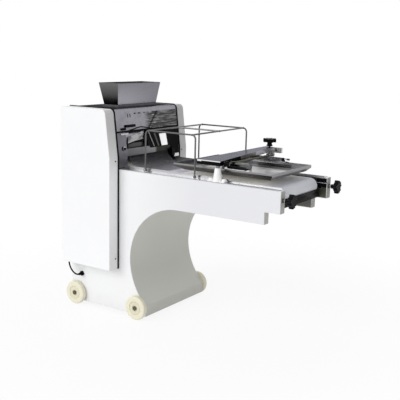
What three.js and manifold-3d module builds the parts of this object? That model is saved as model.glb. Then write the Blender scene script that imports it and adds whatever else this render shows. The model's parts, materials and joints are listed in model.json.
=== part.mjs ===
// Dough moulder: a dough moulding machine of the 380 mm class, on nylon wheels.
// Dough goes in at the hopper, is sheeted by two pairs of rollers, is curled by a chain net
// on the belt and is rolled long between the belt and a pressure board.
// Millimetres. +X points to the discharge end, +Y to the far side, +Z up.
// The drawing zero of X is the front of the head; the last lines centre the machine on the origin.

import * as THREE from 'three';
import { mergeVertices } from 'three/addons/utils/BufferGeometryUtils.js';
import Module from 'manifold-3d';

const wasm = await Module();
wasm.setup();

// Body: base, column and arm, as folded sheet
const panelOuter = 260;
const panelSheet = 3;
const baseBottom = 20;
const baseSheet = 4;
const columnRear = 326;
const kickFront = 180;
const curveDeepest = 76;
const curveMidHeight = 313;
const lowerCurveRadius = 320;
const curvedSheet = 2;
const curvedSheetEnd = 700;
const curveSteps = 10;
const armTop = 760;
const armDepth = 160;
const armUnderside = armTop - armDepth;
const armStep = 842;
const noseLength = 78;
const armEnd = armStep + noseLength;
const noseDepth = 102;
const noseUnderside = armTop - noseDepth;
const armBoxDepth = 40;
const armPlateSheet = 3;
const armPlateStart = 4;
const headBendRise = 62;
const headBend = armTop + headBendRise;
const headRise = 300;
const headTop = armTop + headRise;
const headLean = 29.4;
const headCorner = 22;
const headCornerSteps = 5;
const rearSheet = 2;
const louvreLength = 240;
const louvreHeight = 8;
const louvrePitch = 28;
const louvreCount = 6;
const louvreBottom = 300;

// Clearances
const seat = 0.3;
const overrun = 5;
const weld = 0.001;

// Gears on the near side and chain on the far side, outside the panels
const gearTeeth = 16;
const gearWidth = 10;
const gearPanelGap = 8;
const gearPairGap = 6;
const lowerGearPlane = panelOuter + gearPanelGap;
const upperGearPlane = lowerGearPlane + gearWidth + gearPairGap;
const toothTipShare = 0.11;
const toothRootShare = 0.27;
const addendumShare = 0.9;
const dedendumShare = 1.25;
const sprocketRadius = 30;
const sprocketPanelGap = 10;
const sprocketPlane = panelOuter + sprocketPanelGap;
const sprocketWidth = 8;
const chainDepth = 7;
const chainGap = 1;
const chainCornerSteps = 8;

// Side covers over the gears and the chain
const coverClearance = 36;
const coverOuter = upperGearPlane + gearWidth + coverClearance;
const coverOverhang = 4;
const coverRear = columnRear + coverOverhang;
const coverHeight = 816;
const coverBottom = headTop - coverHeight;
const coverSheet = 2;
const sealWidth = 4.7;
const sealDepth = 6;
const sealProud = 0.8;

// Head
const bearingPlateSheet = 10;
const bearingPlateOuter = panelOuter - armBoxDepth - armPlateSheet;
const bearingPlateInner = bearingPlateOuter - bearingPlateSheet;
const jambLap = 18;
const jambInner = bearingPlateInner - jambLap;
const jambGap = 2.6;
const jambBottom = armTop + jambGap;
const jambSheet = 3;
const bearingPlateRear = 300;
const bearingPlateDrop = 20;
const bearingPlateTop = headTop - bearingPlateDrop;
const bearingPlateHeight = 400;
const bearingPlateBottom = bearingPlateTop - bearingPlateHeight;
const frontPanelHeight = 112;
const frontPanelBottom = headTop - frontPanelHeight;
const frontPanelSheet = 2;
const frontPanelReturn = 54;
const topPlateSheet = 4;
const topPlateDrop = 2;
const shieldHeight = 102;
const shieldBottom = frontPanelBottom - shieldHeight;
const shieldInner = 20;
const shieldNotch = 6;
const shieldSheet = 2.4;
const nylonFaceSheet = 4;
const nylonRise = 4;
const nylonHeight = 64;
const nylonLow = shieldBottom + nylonRise;
const nylonHigh = nylonLow + nylonHeight;
const nylonFootOuter = 148;
const nylonFootInner = 94;
const nylonTopOuter = 139;
const nylonTopInner = 79;
const nylonFace = [
  [nylonFootOuter, nylonLow], [nylonTopOuter, nylonHigh],
  [nylonTopInner, nylonHigh], [nylonFootInner, nylonLow],
];

// Hopper
const hopperHeight = 109;
const hopperSeatRise = 14;
const hopperFootZ = headTop + hopperSeatRise;
const hopperRimZ = hopperFootZ + hopperHeight;
const hopperFootHalfWidth = 160;
const hopperFootRear = 184;
const hopperFootFront = 89;
const hopperFlareSide = 18;
const hopperFlareRear = 20;
const hopperFlareFront = 14;
const hopperRimHalfWidth = hopperFootHalfWidth + hopperFlareSide;
const hopperRimRear = hopperFootRear + hopperFlareRear;
const hopperRimFront = hopperFootFront - hopperFlareFront;
const hopperThroatDepth = 26;
const hopperThroatZ = hopperFootZ - hopperThroatDepth;
const hopperSheet = 2;
const collarWall = 6;

// Sheeting rollers, all on axes along Y; each pair is set apart by a little more than its diameter
const upperRollerRadius = 40.5;
const upperRollerNip = 7;
const upperRollerSpacing = upperRollerRadius * 2 + upperRollerNip;
const upperRollerDrop = 60;
const upperRollerZ = headTop - upperRollerDrop;
const upperRollerX = -136;
const lowerRollerRadius = 36.5;
const lowerRollerNip = 7;
const lowerRollerSpacing = lowerRollerRadius * 2 + lowerRollerNip;
const rollerPairGap = 9;
const lowerRollerZ = upperRollerZ - upperRollerRadius - lowerRollerRadius - rollerPairGap;
const lowerRollerX = -62;
const rollerEndGap = 7;
const rollerHalfLength = bearingPlateInner - rollerEndGap;
const shaftRadius = 10;
const roundSides = 28;
const smallSides = 20;

// Gearbox and motor that drive the chain
const gearboxX = -120;
const gearboxZ = 330;
const gearboxLength = 130;
const gearboxHeight = 150;
const gearboxDepth = 110;
const motorRadius = 68;
const motorLength = 200;
const motorFinDepth = 5;
const motorFinCount = 4;

// Belt and its rollers
const beltDrop = 3;
const beltTop = armTop - beltDrop;
const beltThickness = 2.5;
const beltSideGap = 22;
const beltHalfWidth = bearingPlateOuter - beltSideGap;
const drumRadius = 36.2;
const drumEndGap = 3;
const drumHalfLength = beltHalfWidth - drumEndGap;
const drumZ = beltTop - beltThickness - seat - drumRadius;
const drumBedGap = 27;
const driveDrumX = -230;
const endDrumSetback = 80;
const endDrumX = armEnd - endDrumSetback;
const bedSheet = 2.5;
const bedFlange = 30;
const bedNarrowStep = 14;
const railLeafWidth = 38;
const railSheet = 2.5;
const railRise = 18;
const railTop = armTop + railRise;
const railLowRise = 8;
const railLow = armTop + railLowRise;
const railStep = 612;
const railSetback = 16;
const railEnd = armEnd - railSetback;
const railRamp = 30;

// Curling net of wire, hung from a bar across the head
const netBarHeight = 38;
const netBarRise = 58;
const netBarBottom = armTop + netBarRise;
const netBarTop = netBarBottom + netBarHeight;
const netBarDepth = 6;
const netBarX = -9;
const netSideGap = 30;
const netHalfWidth = beltHalfWidth - netSideGap;
const netWire = 2.4;
const netStrips = 9;
const netRods = 13;
const netEnd = 292;
const netTouchdown = 90;
const netSag = 30;
const netHangSteps = 7;
const netRodShare = 0.8;

// Take-up of the end roller
const takeUpZ = drumZ;
const takeUpInset = 20;
const takeUpY = panelOuter - takeUpInset;
const takeUpHeight = 32;
const takeUpRear = 22;
const takeUpFront = 34;
const takeUpWall = 29.4;
const takeUpSlotRear = 34;
const takeUpSlotFront = 60;
const screwRadius = 6;
const screwGap = 0.6;
const screwTip = 14;
const knobRadius = 31.5;
const knobThickness = 22;
const knobReach = 54;
const knobEnd = armEnd + knobReach;
const knobHubRadius = 11;
const knobLobes = 7;
const knobLobeDepth = 4;
const knobLobeSteps = 6;
const knobGap = 14;

// Guard cage of round rod over the infeed end of the belt
const rodRadius = 4;
const rodSides = 10;
const guardRear = 155;
const guardFront = 450;
const guardHeight = 207;
const guardTop = armTop + guardHeight;
const guardBend = 20;
const guardBendSteps = 5;
const guardHingeRise = 12;
const guardHingeZ = armTop + guardHingeRise;
const hingeSleeveRadius = 7;
const hingeSleeveLength = 14;
const hingePinRadius = 4;
const hingePinGap = 5.5;
const hingeEarSheet = 3;
const hingeEarRadius = 8;
const guardNearY = takeUpY;
const guardFarY = bearingPlateOuter + hingeEarSheet + seat + hingeSleeveLength / 2;
const footRadius = 7;
const footHeight = 3;

// Bridge that carries the pressure board
const postX = 580;
const postInset = 17;
const postY = panelOuter - postInset;
const postFootRadius = 23;
const postHeadRadius = 14;
const nearPostHeight = 67;
const nearPostTop = armTop + nearPostHeight;
const farPostHeight = 92;
const farPostTop = armTop + farPostHeight;
const postFlangeLength = 92;
const postFlangeWidth = 32;
const postFlangeSheet = 5;
const pinRadius = 8;
const pinLength = 66;
const pinBoreDepth = 60;
const bridgeNearRise = 99;
const bridgeNearZ = armTop + bridgeNearRise;
const bridgeSlope = 22;
const bridgeFarZ = bridgeNearZ + bridgeSlope;
const bridgeEndGap = 8;
const bridgeHalfLength = panelOuter - bridgeEndGap;
const bridgeSheet = 3;
const bridgeNearRear = 470;
const bridgeFarRear = 552;
const bridgeFrontReach = 18;
const bridgeFront = postX + bridgeFrontReach;
const bridgeFlange = 22;
const bridgeBlockLength = 54;
const bridgeBlockWidth = 14;
const bridgeBlockHeight = 26;
const heightScrewLength = 86;
const heightScrewBoreDepth = 78;
const heightKnobRadius = 33;
const heightKnobStem = 12;
const heightKnobSeatGap = 4;
const heightKnobBase = bridgeFarZ + heightKnobSeatGap;
const heightKnobHeight = 39;
const heightKnobTop = heightKnobBase + heightKnobHeight;
const heightKnobRim = 17;

// Pressure board: a tray with flared walls and an upright lip
const trayRise = 28;
const trayBottom = armTop + trayRise;
const trayDepth = 31;
const trayRim = trayBottom + trayDepth;
const trayLip = 14;
const trayFold = trayRim - trayLip;
const traySheet = 2;
const trayFloorRear = 351;
const trayFloorFront = 822;
const trayFloorHalfWidth = 180;
const trayFlareRear = 54;
const trayFlareFront = 18;
const trayFlareSide = 20;
const trayRimRear = trayFloorRear - trayFlareRear;
const trayRimFront = trayFloorFront + trayFlareFront;
const trayRimHalfWidth = trayFloorHalfWidth + trayFlareSide;
const nearStudX = 560;
const nearStudY = -165;
const farStudX = 572;
const farStudY = 72;
const studRadius = 7;

// Side guides on a cross screw with left and right thread
const guideScrewReach = 16;
const guideScrewX = bridgeFront + guideScrewReach;
const guideBaseGap = 2;
const guideBaseZ = trayRim + guideBaseGap;
const guideScrewRise = 25;
const guideScrewZ = guideBaseZ + guideScrewRise;
const guideScrewRadius = 5;
const guideCollarRadius = 8;
const guideCollarWidth = 6;
const guideLugY = 218;
const guideLugSheet = 7;
const guideLugHalfHeight = 8.5;
const guideY = 172;
const guideHalfBase = 21;
const guideWallRise = 16;
const guideWallLean = 7;
const guideSheet = 2;
const nearGuideRear = 600;
const nearGuideFront = 702;
const farGuideRear = 530;
const farGuideFront = 722;
const guideBlockHalf = 8;
const guideKnobRadius = 12;
const guideKnobLength = 16;
const guideKnobLobes = 6;

// Wheels and axles
const wheelRadius = 62.5;
const wheelGap = 2;
const wheelWidth = 26;
const wheelInner = panelOuter + wheelGap;
const wheelOuter = wheelInner + wheelWidth;
const wheelRecess = 4;
const wheelRecessRadius = 34;
const wheelEdge = 4;
const axleRadius = 7;
const axleHead = 12;
const axleHeadHeight = 6;
const axleHeadSides = 6;
const frontAxleX = 130;
const rearAxleX = -284;

// Power lead, clipped between its gland and the side cover
const glandX = -251;
const glandZ = 171;
const glandRadius = 13;
const glandCollar = 8;
const glandNose = 8;
const glandNoseRadius = 9;
const leadRadius = 4;
const leadSides = 10;
const leadSteps = 10;
const leadHoleGap = 0.5;
const leadTail = 4;
const leadUpX = -311;
const leadUpY = -299;
const leadRoute = [
  [-251, -288, 171], [-258, -298, 173], [-272, -304, 182], [-290, -305, 199], [-304, -302, 220],
];

const TURN = Math.PI * 2;
const NEAR = -1;
const FAR = 1;

// Materials
function finish(color, roughness, metalness) {
  return new THREE.MeshStandardMaterial({ color, roughness, metalness });
}
const whitePaint = finish(0xf2f3f5, 0.45, 0);
const stainless = finish(0xb8b9bd, 0.35, 0.9);
const polished = finish(0xc9cad0, 0.15, 1);
const darkSheet = finish(0x3a3b3f, 0.3, 0.8);
const blackPlastic = finish(0x17181a, 0.4, 0);
const blackRubber = finish(0x1c1c1c, 0.7, 0);
const creamNylon = finish(0xe8e2c4, 0.45, 0);
const whiteNylon = finish(0xf6f6f4, 0.5, 0);
const beltCloth = finish(0xc8cad0, 0.7, 0);
const steel = finish(0x8d8f92, 0.4, 0.9);
const motorPaint = finish(0x5c6f7c, 0.5, 0.2);

// A closed geometry as a solid that can be cut and joined
function solid(geometry) {
  const bare = geometry.index ? geometry.toNonIndexed() : geometry.clone();
  bare.deleteAttribute('normal');
  bare.deleteAttribute('uv');
  const merged = mergeVertices(bare, weld);
  const index = merged.index.array;
  const corners = [];
  for (let i = 0; i < index.length; i += 3) {
    const [a, b, c] = [index[i], index[i + 1], index[i + 2]];
    if (a !== b && b !== c && c !== a) corners.push(a, b, c);
  }
  const vertProperties = new Float32Array(merged.attributes.position.array);
  const triVerts = new Uint32Array(corners);
  return new wasm.Manifold(new wasm.Mesh({ numProp: 3, vertProperties, triVerts }));
}

function toGeometry(body) {
  const { vertProperties, triVerts } = body.getMesh();
  const geometry = new THREE.BufferGeometry();
  geometry.setAttribute('position', new THREE.BufferAttribute(vertProperties, 3));
  geometry.setIndex(new THREE.BufferAttribute(triVerts, 1));
  geometry.computeVertexNormals();
  return geometry;
}

function join(...bodies) {
  return bodies.reduce((whole, body) => whole.add(body));
}

// Names, materials and places of the finished pieces
const machine = new THREE.Group();
function piece(name, body, material) {
  const mesh = new THREE.Mesh(toGeometry(body), material);
  mesh.name = name;
  machine.add(mesh);
  return mesh;
}

function shapeOf(points, holes = []) {
  const shape = new THREE.Shape(points.map(([x, y]) => new THREE.Vector2(x, y)));
  for (const hole of holes) shape.holes.push(new THREE.Path(hole.map(([x, y]) => new THREE.Vector2(x, y))));
  return shape;
}

// An outline pushed straight from z = 0 to a depth
function pushed(points, depth, holes) {
  return new THREE.ExtrudeGeometry(shapeOf(points, holes), { depth, bevelEnabled: false });
}

// An outline in X and Z, from y = low to y = high
function sideProfile(points, low, high, holes = []) {
  const geometry = pushed(points, high - low, holes);
  geometry.rotateX(Math.PI / 2);
  geometry.translate(0, high, 0);
  return solid(geometry);
}

// An outline in X and Z on one side of the machine, between two distances from its middle plane
function onSide(side, points, inner, outer) {
  const [low, high] = side === FAR ? [inner, outer] : [-outer, -inner];
  return sideProfile(points, low, high);
}

// An outline in X and Y, from z = low to z = high
function plan(points, low, high, holes = []) {
  const geometry = pushed(points, high - low, holes);
  geometry.translate(0, 0, low);
  return solid(geometry);
}

// An outline in Y and Z, from x = low to x = high
function crossProfile(points, low, high) {
  const geometry = pushed(points, high - low, []);
  const turn = new THREE.Matrix4().makeBasis(
    new THREE.Vector3(0, 1, 0), new THREE.Vector3(0, 0, 1), new THREE.Vector3(1, 0, 0));
  geometry.applyMatrix4(turn);
  geometry.translate(low, 0, 0);
  return solid(geometry);
}

function block([x0, x1], [y0, y1], [z0, z1]) {
  const geometry = new THREE.BoxGeometry(x1 - x0, y1 - y0, z1 - z0);
  geometry.translate((x0 + x1) / 2, (y0 + y1) / 2, (z0 + z1) / 2);
  return solid(geometry);
}

// A block between two distances from the middle plane, on one side
function sideBlock(side, xs, [inner, outer], zs) {
  return block(xs, side === FAR ? [inner, outer] : [-outer, -inner], zs);
}

// A box with a low and a high rectangle, each [rear x, front x, half width, z]
function flare([lowRear, lowFront, lowHalf, lowZ], [highRear, highFront, highHalf, highZ]) {
  const geometry = new THREE.BoxGeometry(1, 1, 1);
  const corner = geometry.attributes.position;
  for (let i = 0; i < corner.count; i += 1) {
    const high = corner.getZ(i) > 0;
    const [rear, front, half] = high ? [highRear, highFront, highHalf] : [lowRear, lowFront, lowHalf];
    const across = Math.sign(corner.getY(i)) * half;
    corner.setXYZ(i, corner.getX(i) > 0 ? front : rear, across, high ? highZ : lowZ);
  }
  return solid(geometry);
}

function cylinderY(radius, x, z, low, high, sides = smallSides) {
  const geometry = new THREE.CylinderGeometry(radius, radius, high - low, sides);
  geometry.translate(x, (low + high) / 2, z);
  return solid(geometry);
}

function cylinderOnSide(side, radius, x, z, inner, outer, sides = smallSides) {
  const [low, high] = side === FAR ? [inner, outer] : [-outer, -inner];
  return cylinderY(radius, x, z, low, high, sides);
}

function cylinderZ(radius, x, y, low, high, sides = smallSides) {
  const geometry = new THREE.CylinderGeometry(radius, radius, high - low, sides);
  geometry.rotateX(Math.PI / 2);
  geometry.translate(x, y, (low + high) / 2);
  return solid(geometry);
}

function cylinderX(radius, y, z, low, high, sides = smallSides) {
  const geometry = new THREE.CylinderGeometry(radius, radius, high - low, sides);
  geometry.rotateZ(Math.PI / 2);
  geometry.translate((low + high) / 2, y, z);
  return solid(geometry);
}

// A turned piece on an axis along Y; the profile is [radius, y], from low y to high y
function turnedY(profile, x, z, sides = roundSides) {
  const geometry = new THREE.LatheGeometry(profile.map(([r, y]) => new THREE.Vector2(r, y)), sides);
  geometry.translate(x, 0, z);
  return solid(geometry);
}

// A turned piece on an axis along Z; the profile is [radius, z], from low z to high z
function turnedZ(profile, x, y, sides = roundSides) {
  const geometry = new THREE.LatheGeometry(profile.map(([r, z]) => new THREE.Vector2(r, z)), sides);
  geometry.rotateX(Math.PI / 2);
  geometry.translate(x, y, 0);
  return solid(geometry);
}

function arc(centreX, centreZ, radius, from, to, steps) {
  const points = [];
  for (let i = 0; i <= steps; i += 1) {
    const angle = from + (to - from) * i / steps;
    points.push([centreX + radius * Math.cos(angle), centreZ + radius * Math.sin(angle)]);
  }
  return points;
}

// A route through points, with an even parameter from one point to the next
class Route extends THREE.Curve {
  constructor(points) {
    super();
    this.points = points;
  }

  getPoint(share, target = new THREE.Vector3()) {
    const place = Math.min(Math.max(share, 0), 1) * (this.points.length - 1);
    const start = Math.min(Math.floor(place), this.points.length - 2);
    return target.lerpVectors(this.points[start], this.points[start + 1], place - start);
  }

  getUtoTmapping(share) {
    return share;
  }
}

// A round rod through corners, with rounded bends
function bentRod(corners, radius, bend, bendSteps, sides) {
  const stops = corners.map((corner) => new THREE.Vector3(...corner));
  const route = [stops[0]];
  for (let i = 1; i < stops.length - 1; i += 1) {
    const toPrevious = stops[i - 1].clone().sub(stops[i]).normalize();
    const toNext = stops[i + 1].clone().sub(stops[i]).normalize();
    const start = stops[i].clone().addScaledVector(toPrevious, bend);
    const end = stops[i].clone().addScaledVector(toNext, bend);
    const curve = new THREE.QuadraticBezierCurve3(start, stops[i], end);
    route.push(...curve.getPoints(bendSteps));
  }
  route.push(stops[stops.length - 1]);
  return sweptRod(route, radius, sides);
}

function sweptRod(route, radius, sides) {
  const section = shapeOf(arc(0, 0, radius, 0, TURN * (sides - 1) / sides, sides - 1));
  const steps = route.length - 1;
  const extrudePath = new Route(route);
  return solid(new THREE.ExtrudeGeometry(section, { steps, extrudePath, bevelEnabled: false }));
}

// Front line of the head: upright to the bend, leaning back above it
function frontLine(z) {
  return z <= headBend ? 0 : -headLean * (z - headBend) / (headTop - headBend);
}

// Front line from a height up, rounded over to the top and on to a rear place, set in by a depth
function frontOver(bottom, rear, depth) {
  const lean = Math.atan2(headLean, headTop - headBend);
  const radius = headCorner - depth;
  const centreZ = headTop - headCorner;
  const centreX = frontLine(centreZ + headCorner * Math.sin(lean)) - headCorner * Math.cos(lean);
  const corner = arc(centreX, centreZ, radius, lean, Math.PI / 2, headCornerSteps);
  return [[frontLine(bottom) - depth, bottom], ...corner, [rear, headTop - depth]];
}

// The curve of the pedestal from the arm's underside down to the kick plate, set in by a depth
function pedestalCurve(depth) {
  const upperRadius = armUnderside - curveMidHeight;
  const upperX = curveDeepest + upperRadius;
  const lowerX = curveDeepest + lowerCurveRadius;
  const reach = lowerX - kickFront + depth;
  const lowest = Math.PI + Math.acos(reach / (lowerCurveRadius + depth));
  const upper = arc(upperX, curveMidHeight, upperRadius + depth, Math.PI / 2, Math.PI, curveSteps);
  const lower = arc(lowerX, curveMidHeight, lowerCurveRadius + depth, Math.PI, lowest, curveSteps);
  return [...upper, ...lower.slice(1)];
}

const panelInner = panelOuter - panelSheet;
const insidePanels = panelInner - seat;
const armPlateOuter = panelOuter - armBoxDepth;
const armPlateInner = armPlateOuter - armPlateSheet;
const beltOuterRadius = beltTop - drumZ;
const beltInnerRadius = beltOuterRadius - beltThickness;
const bore = shaftRadius + seat;
const headPlateTop = headTop - topPlateDrop;
const upperRear = [upperRollerX - upperRollerSpacing / 2, upperRollerZ];
const upperFront = [upperRollerX + upperRollerSpacing / 2, upperRollerZ];
const lowerFront = [lowerRollerX, lowerRollerZ];
const lowerRear = [lowerRollerX - lowerRollerSpacing, lowerRollerZ];
const driveDrum = [driveDrumX, drumZ];
const gearboxShaft = [gearboxX, gearboxZ];

// Side panel: base, column and arm in one sheet, with the arm folded to a box along its edges
function sidePanel(side) {
  const outline = [
    [kickFront, baseBottom], ...pedestalCurve(0).reverse(), [armStep, armUnderside], [armStep, noseUnderside],
    [armEnd, noseUnderside], [armEnd, armTop], [0, armTop], ...frontOver(headBend, -columnRear, 0),
    [-columnRear, baseBottom],
  ];
  const sheet = onSide(side, outline, panelInner, panelOuter);
  const fold = panelSheet;
  const boxEdge = [
    [armPlateStart, armTop - fold], [armPlateStart, armTop], [armEnd, armTop], [armEnd, noseUnderside],
    [armStep, noseUnderside], [armStep, armUnderside], [curvedSheetEnd + seat, armUnderside],
    [curvedSheetEnd + seat, armUnderside + fold], [armStep - fold, armUnderside + fold],
    [armStep - fold, noseUnderside + fold], [armEnd - fold, noseUnderside + fold],
    [armEnd - fold, armTop - fold],
  ];
  let panel = sheet.add(onSide(side, boxEdge, armPlateOuter + seat, panelOuter));
  const screwHole = cylinderX(screwRadius + screwGap, side * takeUpY, takeUpZ, armEnd - armBoxDepth,
    armEnd + overrun);
  panel = panel.subtract(screwHole);
  const drilled = side === NEAR
    ? [upperRear, upperFront, lowerFront, lowerRear]
    : [upperRear, lowerRear, driveDrum, gearboxShaft];
  for (const [x, z] of drilled) {
    panel = panel.subtract(cylinderOnSide(side, bore, x, z, insidePanels, panelOuter + overrun));
  }
  for (const x of [frontAxleX, rearAxleX]) {
    const axleHole = cylinderOnSide(side, axleRadius + seat, x, wheelRadius, insidePanels,
      panelOuter + overrun);
    panel = panel.subtract(axleHole);
  }
  return panel;
}

// Curved front of the pedestal with the kick plate below and the arm's underside above
function curvedFront() {
  const outer = [[curvedSheetEnd, armUnderside], ...pedestalCurve(0), [kickFront, baseBottom]];
  const inner = [[curvedSheetEnd, armUnderside + curvedSheet], ...pedestalCurve(curvedSheet),
    [kickFront - curvedSheet, baseBottom]];
  return sideProfile([...outer, ...inner.reverse()], -insidePanels, insidePanels);
}

function basePlate() {
  const front = kickFront - curvedSheet - seat;
  const rear = -(columnRear - rearSheet - seat);
  return block([rear, front], [-insidePanels, insidePanels], [baseBottom, baseBottom + baseSheet]);
}

function rearPanel() {
  const top = headPlateTop - topPlateSheet - seat;
  let panel = block([-columnRear, rearSheet - columnRear], [-insidePanels, insidePanels], [baseBottom, top]);
  for (let i = 0; i < louvreCount; i += 1) {
    const low = louvreBottom + i * louvrePitch;
    const slot = block([-columnRear - overrun, rearSheet - columnRear + overrun],
      [-louvreLength / 2, louvreLength / 2], [low, low + louvreHeight]);
    panel = panel.subtract(slot);
  }
  return panel;
}

// Inner plate that closes the arm's box and carries the bed, with the take-up slot
function armPlate(side) {
  const top = armTop - panelSheet - seat;
  const low = armUnderside + panelSheet + seat;
  const nose = noseUnderside + panelSheet + seat;
  const step = armStep - panelSheet - seat;
  const end = armEnd - panelSheet - seat;
  const outline = [[armPlateStart, low], [step, low], [step, nose], [end, nose], [end, top],
    [armPlateStart, top]];
  const slotHalf = shaftRadius + screwGap;
  const slot = sideBlock(side, [endDrumX - takeUpSlotRear, endDrumX + takeUpSlotFront],
    [armPlateInner - overrun, armPlateOuter + overrun], [drumZ - slotHalf, drumZ + slotHalf]);
  return onSide(side, outline, armPlateInner, armPlateOuter).subtract(slot);
}

// Head plate with its folded front jamb, bored for the roller journals
function headPlate(side) {
  const outline = [
    [-bearingPlateRear, bearingPlateBottom], [-jambSheet, bearingPlateBottom], [-jambSheet, headBend],
    [frontLine(bearingPlateTop) - jambSheet, bearingPlateTop], [-bearingPlateRear, bearingPlateTop],
  ];
  const jambOutline = [
    [0, jambBottom], [0, headBend], [frontLine(frontPanelBottom - seat), frontPanelBottom - seat],
    [frontLine(frontPanelBottom - seat) - jambSheet, frontPanelBottom - seat], [-jambSheet, headBend],
    [-jambSheet, jambBottom],
  ];
  const jamb = onSide(side, jambOutline, jambInner, insidePanels);
  let plate = onSide(side, outline, bearingPlateInner, bearingPlateOuter).add(jamb);
  for (const [x, z] of [upperRear, upperFront, lowerFront, lowerRear, driveDrum]) {
    const hole = cylinderOnSide(side, bore, x, z, bearingPlateInner - overrun, bearingPlateOuter + overrun);
    plate = plate.subtract(hole);
  }
  return plate;
}

// Stainless front of the head, rolled over its top edge
function frontPanel() {
  const outer = frontOver(frontPanelBottom, -frontPanelReturn, 0);
  const inner = frontOver(frontPanelBottom, -frontPanelReturn, frontPanelSheet);
  return sideProfile([...outer, ...inner.reverse()], -insidePanels, insidePanels);
}

// Dark plate on top of the head, open under the hopper
function topPlate() {
  const rectangle = (rear, front, half) => [[rear, -half], [front, -half], [front, half], [rear, half]];
  const outline = rectangle(-columnRear, -frontPanelReturn - seat, insidePanels);
  const hole = rectangle(-hopperFootRear, -hopperFootFront, hopperFootHalfWidth);
  return plan(outline, headPlateTop - topPlateSheet, headPlateTop, [hole]);
}

// Dark polished shield over the right half of the roller window
function rollerShield() {
  const sheet = leaningSheet(shieldBottom, frontPanelBottom - seat, seat, shieldSheet);
  const overBar = block([-netBarDepth * 2, netBarDepth * 2], [-shieldInner - overrun, shieldNotch],
    [0, netBarTop + seat]);
  return sideProfile(sheet, -shieldInner, insidePanels).subtract(overBar);
}

// Section of a sheet that lies on the head's front line
function leaningSheet(low, high, gap, thickness) {
  return [
    [frontLine(low) + gap, low], [frontLine(high) + gap, high],
    [frontLine(high) + gap + thickness, high], [frontLine(low) + gap + thickness, low],
  ];
}

// White nylon block on the shield
function nylonBlock() {
  const reach = coverOuter;
  const sheet = leaningSheet(shieldBottom, frontPanelBottom, shieldSheet + seat * 2, nylonFaceSheet);
  return sideProfile(sheet, -reach, reach).intersect(crossProfile(nylonFace, -reach, reach));
}

// Side cover: a shell open to the inside, over the gears or the chain
function sideCover(side) {
  const rim = panelOuter + seat + sealWidth + seat;
  const outline = (depth) => [
    [-depth, coverBottom + depth], ...frontOver(headBend, -coverRear + depth, depth),
    [-coverRear + depth, coverBottom + depth],
  ];
  const shell = onSide(side, outline(0), rim, coverOuter);
  let cover = shell.subtract(onSide(side, outline(coverSheet), rim - overrun, coverOuter - coverSheet));
  if (side === NEAR) {
    const hole = cylinderZ(leadRadius + leadHoleGap, leadUpX, leadUpY, coverBottom - overrun,
      coverBottom + overrun);
    cover = cover.subtract(hole);
  }
  return cover;
}

// Black seal between the cover's rim and the machine, down the front and back along the top
function coverSeal(side) {
  const outer = [[sealProud, coverBottom], ...frontOver(headBend, -coverRear, -sealProud)];
  const inner = [[-sealDepth, coverBottom], ...frontOver(headBend, -coverRear, sealDepth)];
  return onSide(side, [...outer, ...inner.reverse()], panelOuter + seat, panelOuter + seat + sealWidth);
}

// Hopper: flared box on a short throat through the top plate
function hopper() {
  const s = hopperSheet;
  const gap = seat;
  const foot = [-hopperFootRear + gap, -hopperFootFront - gap, hopperFootHalfWidth - gap];
  const outside = join(
    flare([...foot, hopperFootZ], [-hopperRimRear, -hopperRimFront, hopperRimHalfWidth, hopperRimZ]),
    flare([...foot, hopperThroatZ], [...foot, hopperFootZ]),
  );
  const rise = overrun / (hopperRimZ - hopperFootZ);
  const inFoot = [foot[0] + s, foot[1] - s, foot[2] - s];
  const rim = [-hopperRimRear + s, -hopperRimFront - s, hopperRimHalfWidth - s];
  const over = rim.map((value, i) => value + (value - inFoot[i]) * rise);
  const inside = join(
    flare([...inFoot, hopperFootZ], [...over, hopperRimZ + overrun]),
    flare([...inFoot, hopperThroatZ - overrun], [...inFoot, hopperFootZ]),
  );
  return outside.subtract(inside);
}

// Dark collar that seats the hopper on the top plate
function hopperCollar() {
  const low = headPlateTop + seat;
  const wide = collarWall + seat;
  const outer = [-hopperFootRear - wide, -hopperFootFront + wide, hopperFootHalfWidth + wide];
  const inner = [-hopperFootRear, -hopperFootFront, hopperFootHalfWidth];
  const ring = flare([...outer, low], [...outer, hopperFootZ - topPlateDrop]);
  return ring.subtract(flare([...inner, low - overrun], [...inner, hopperFootZ + overrun]));
}

// Sheeting roller with journals; the near end carries a gear, the far end may carry a sprocket
function sheetingRoller([x, z], radius, nearEnd, withSprocket) {
  const farEnd = withSprocket ? sprocketPlane + sprocketWidth : bearingPlateOuter;
  const r = shaftRadius;
  const profile = [[0, -nearEnd], [r, -nearEnd], [r, -rollerHalfLength], [radius, -rollerHalfLength],
    [radius, rollerHalfLength], [r, rollerHalfLength]];
  if (withSprocket) {
    profile.push([r, sprocketPlane], [sprocketRadius, sprocketPlane], [sprocketRadius, farEnd]);
  } else {
    profile.push([r, farEnd]);
  }
  profile.push([0, farEnd]);
  return turnedY(profile, x, z);
}

// Gear outline with trapezoid teeth; phase is the angle of one tooth
function gearOutline(pitchRadius, phase) {
  const pitch = TURN / gearTeeth;
  const gearModule = pitchRadius * 2 / gearTeeth;
  const tip = pitchRadius + gearModule * addendumShare;
  const root = pitchRadius - gearModule * dedendumShare;
  const points = [];
  for (let i = 0; i < gearTeeth; i += 1) {
    const middle = phase + i * pitch;
    const tooth = [
      [-toothRootShare, root], [-toothTipShare, tip], [toothTipShare, tip], [toothRootShare, root],
    ];
    for (const [share, radius] of tooth) {
      const angle = middle + share * pitch;
      points.push([radius * Math.cos(angle), radius * Math.sin(angle)]);
    }
  }
  return points;
}

function gear([x, z], pitchRadius, phase, plane) {
  const outline = gearOutline(pitchRadius, phase).map(([dx, dz]) => [x + dx, z + dz]);
  const hole = arc(x, z, bore, 0, TURN * (smallSides - 1) / smallSides, smallSides - 1);
  return sideProfile(outline, -plane - gearWidth, -plane, [hole]);
}

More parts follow.
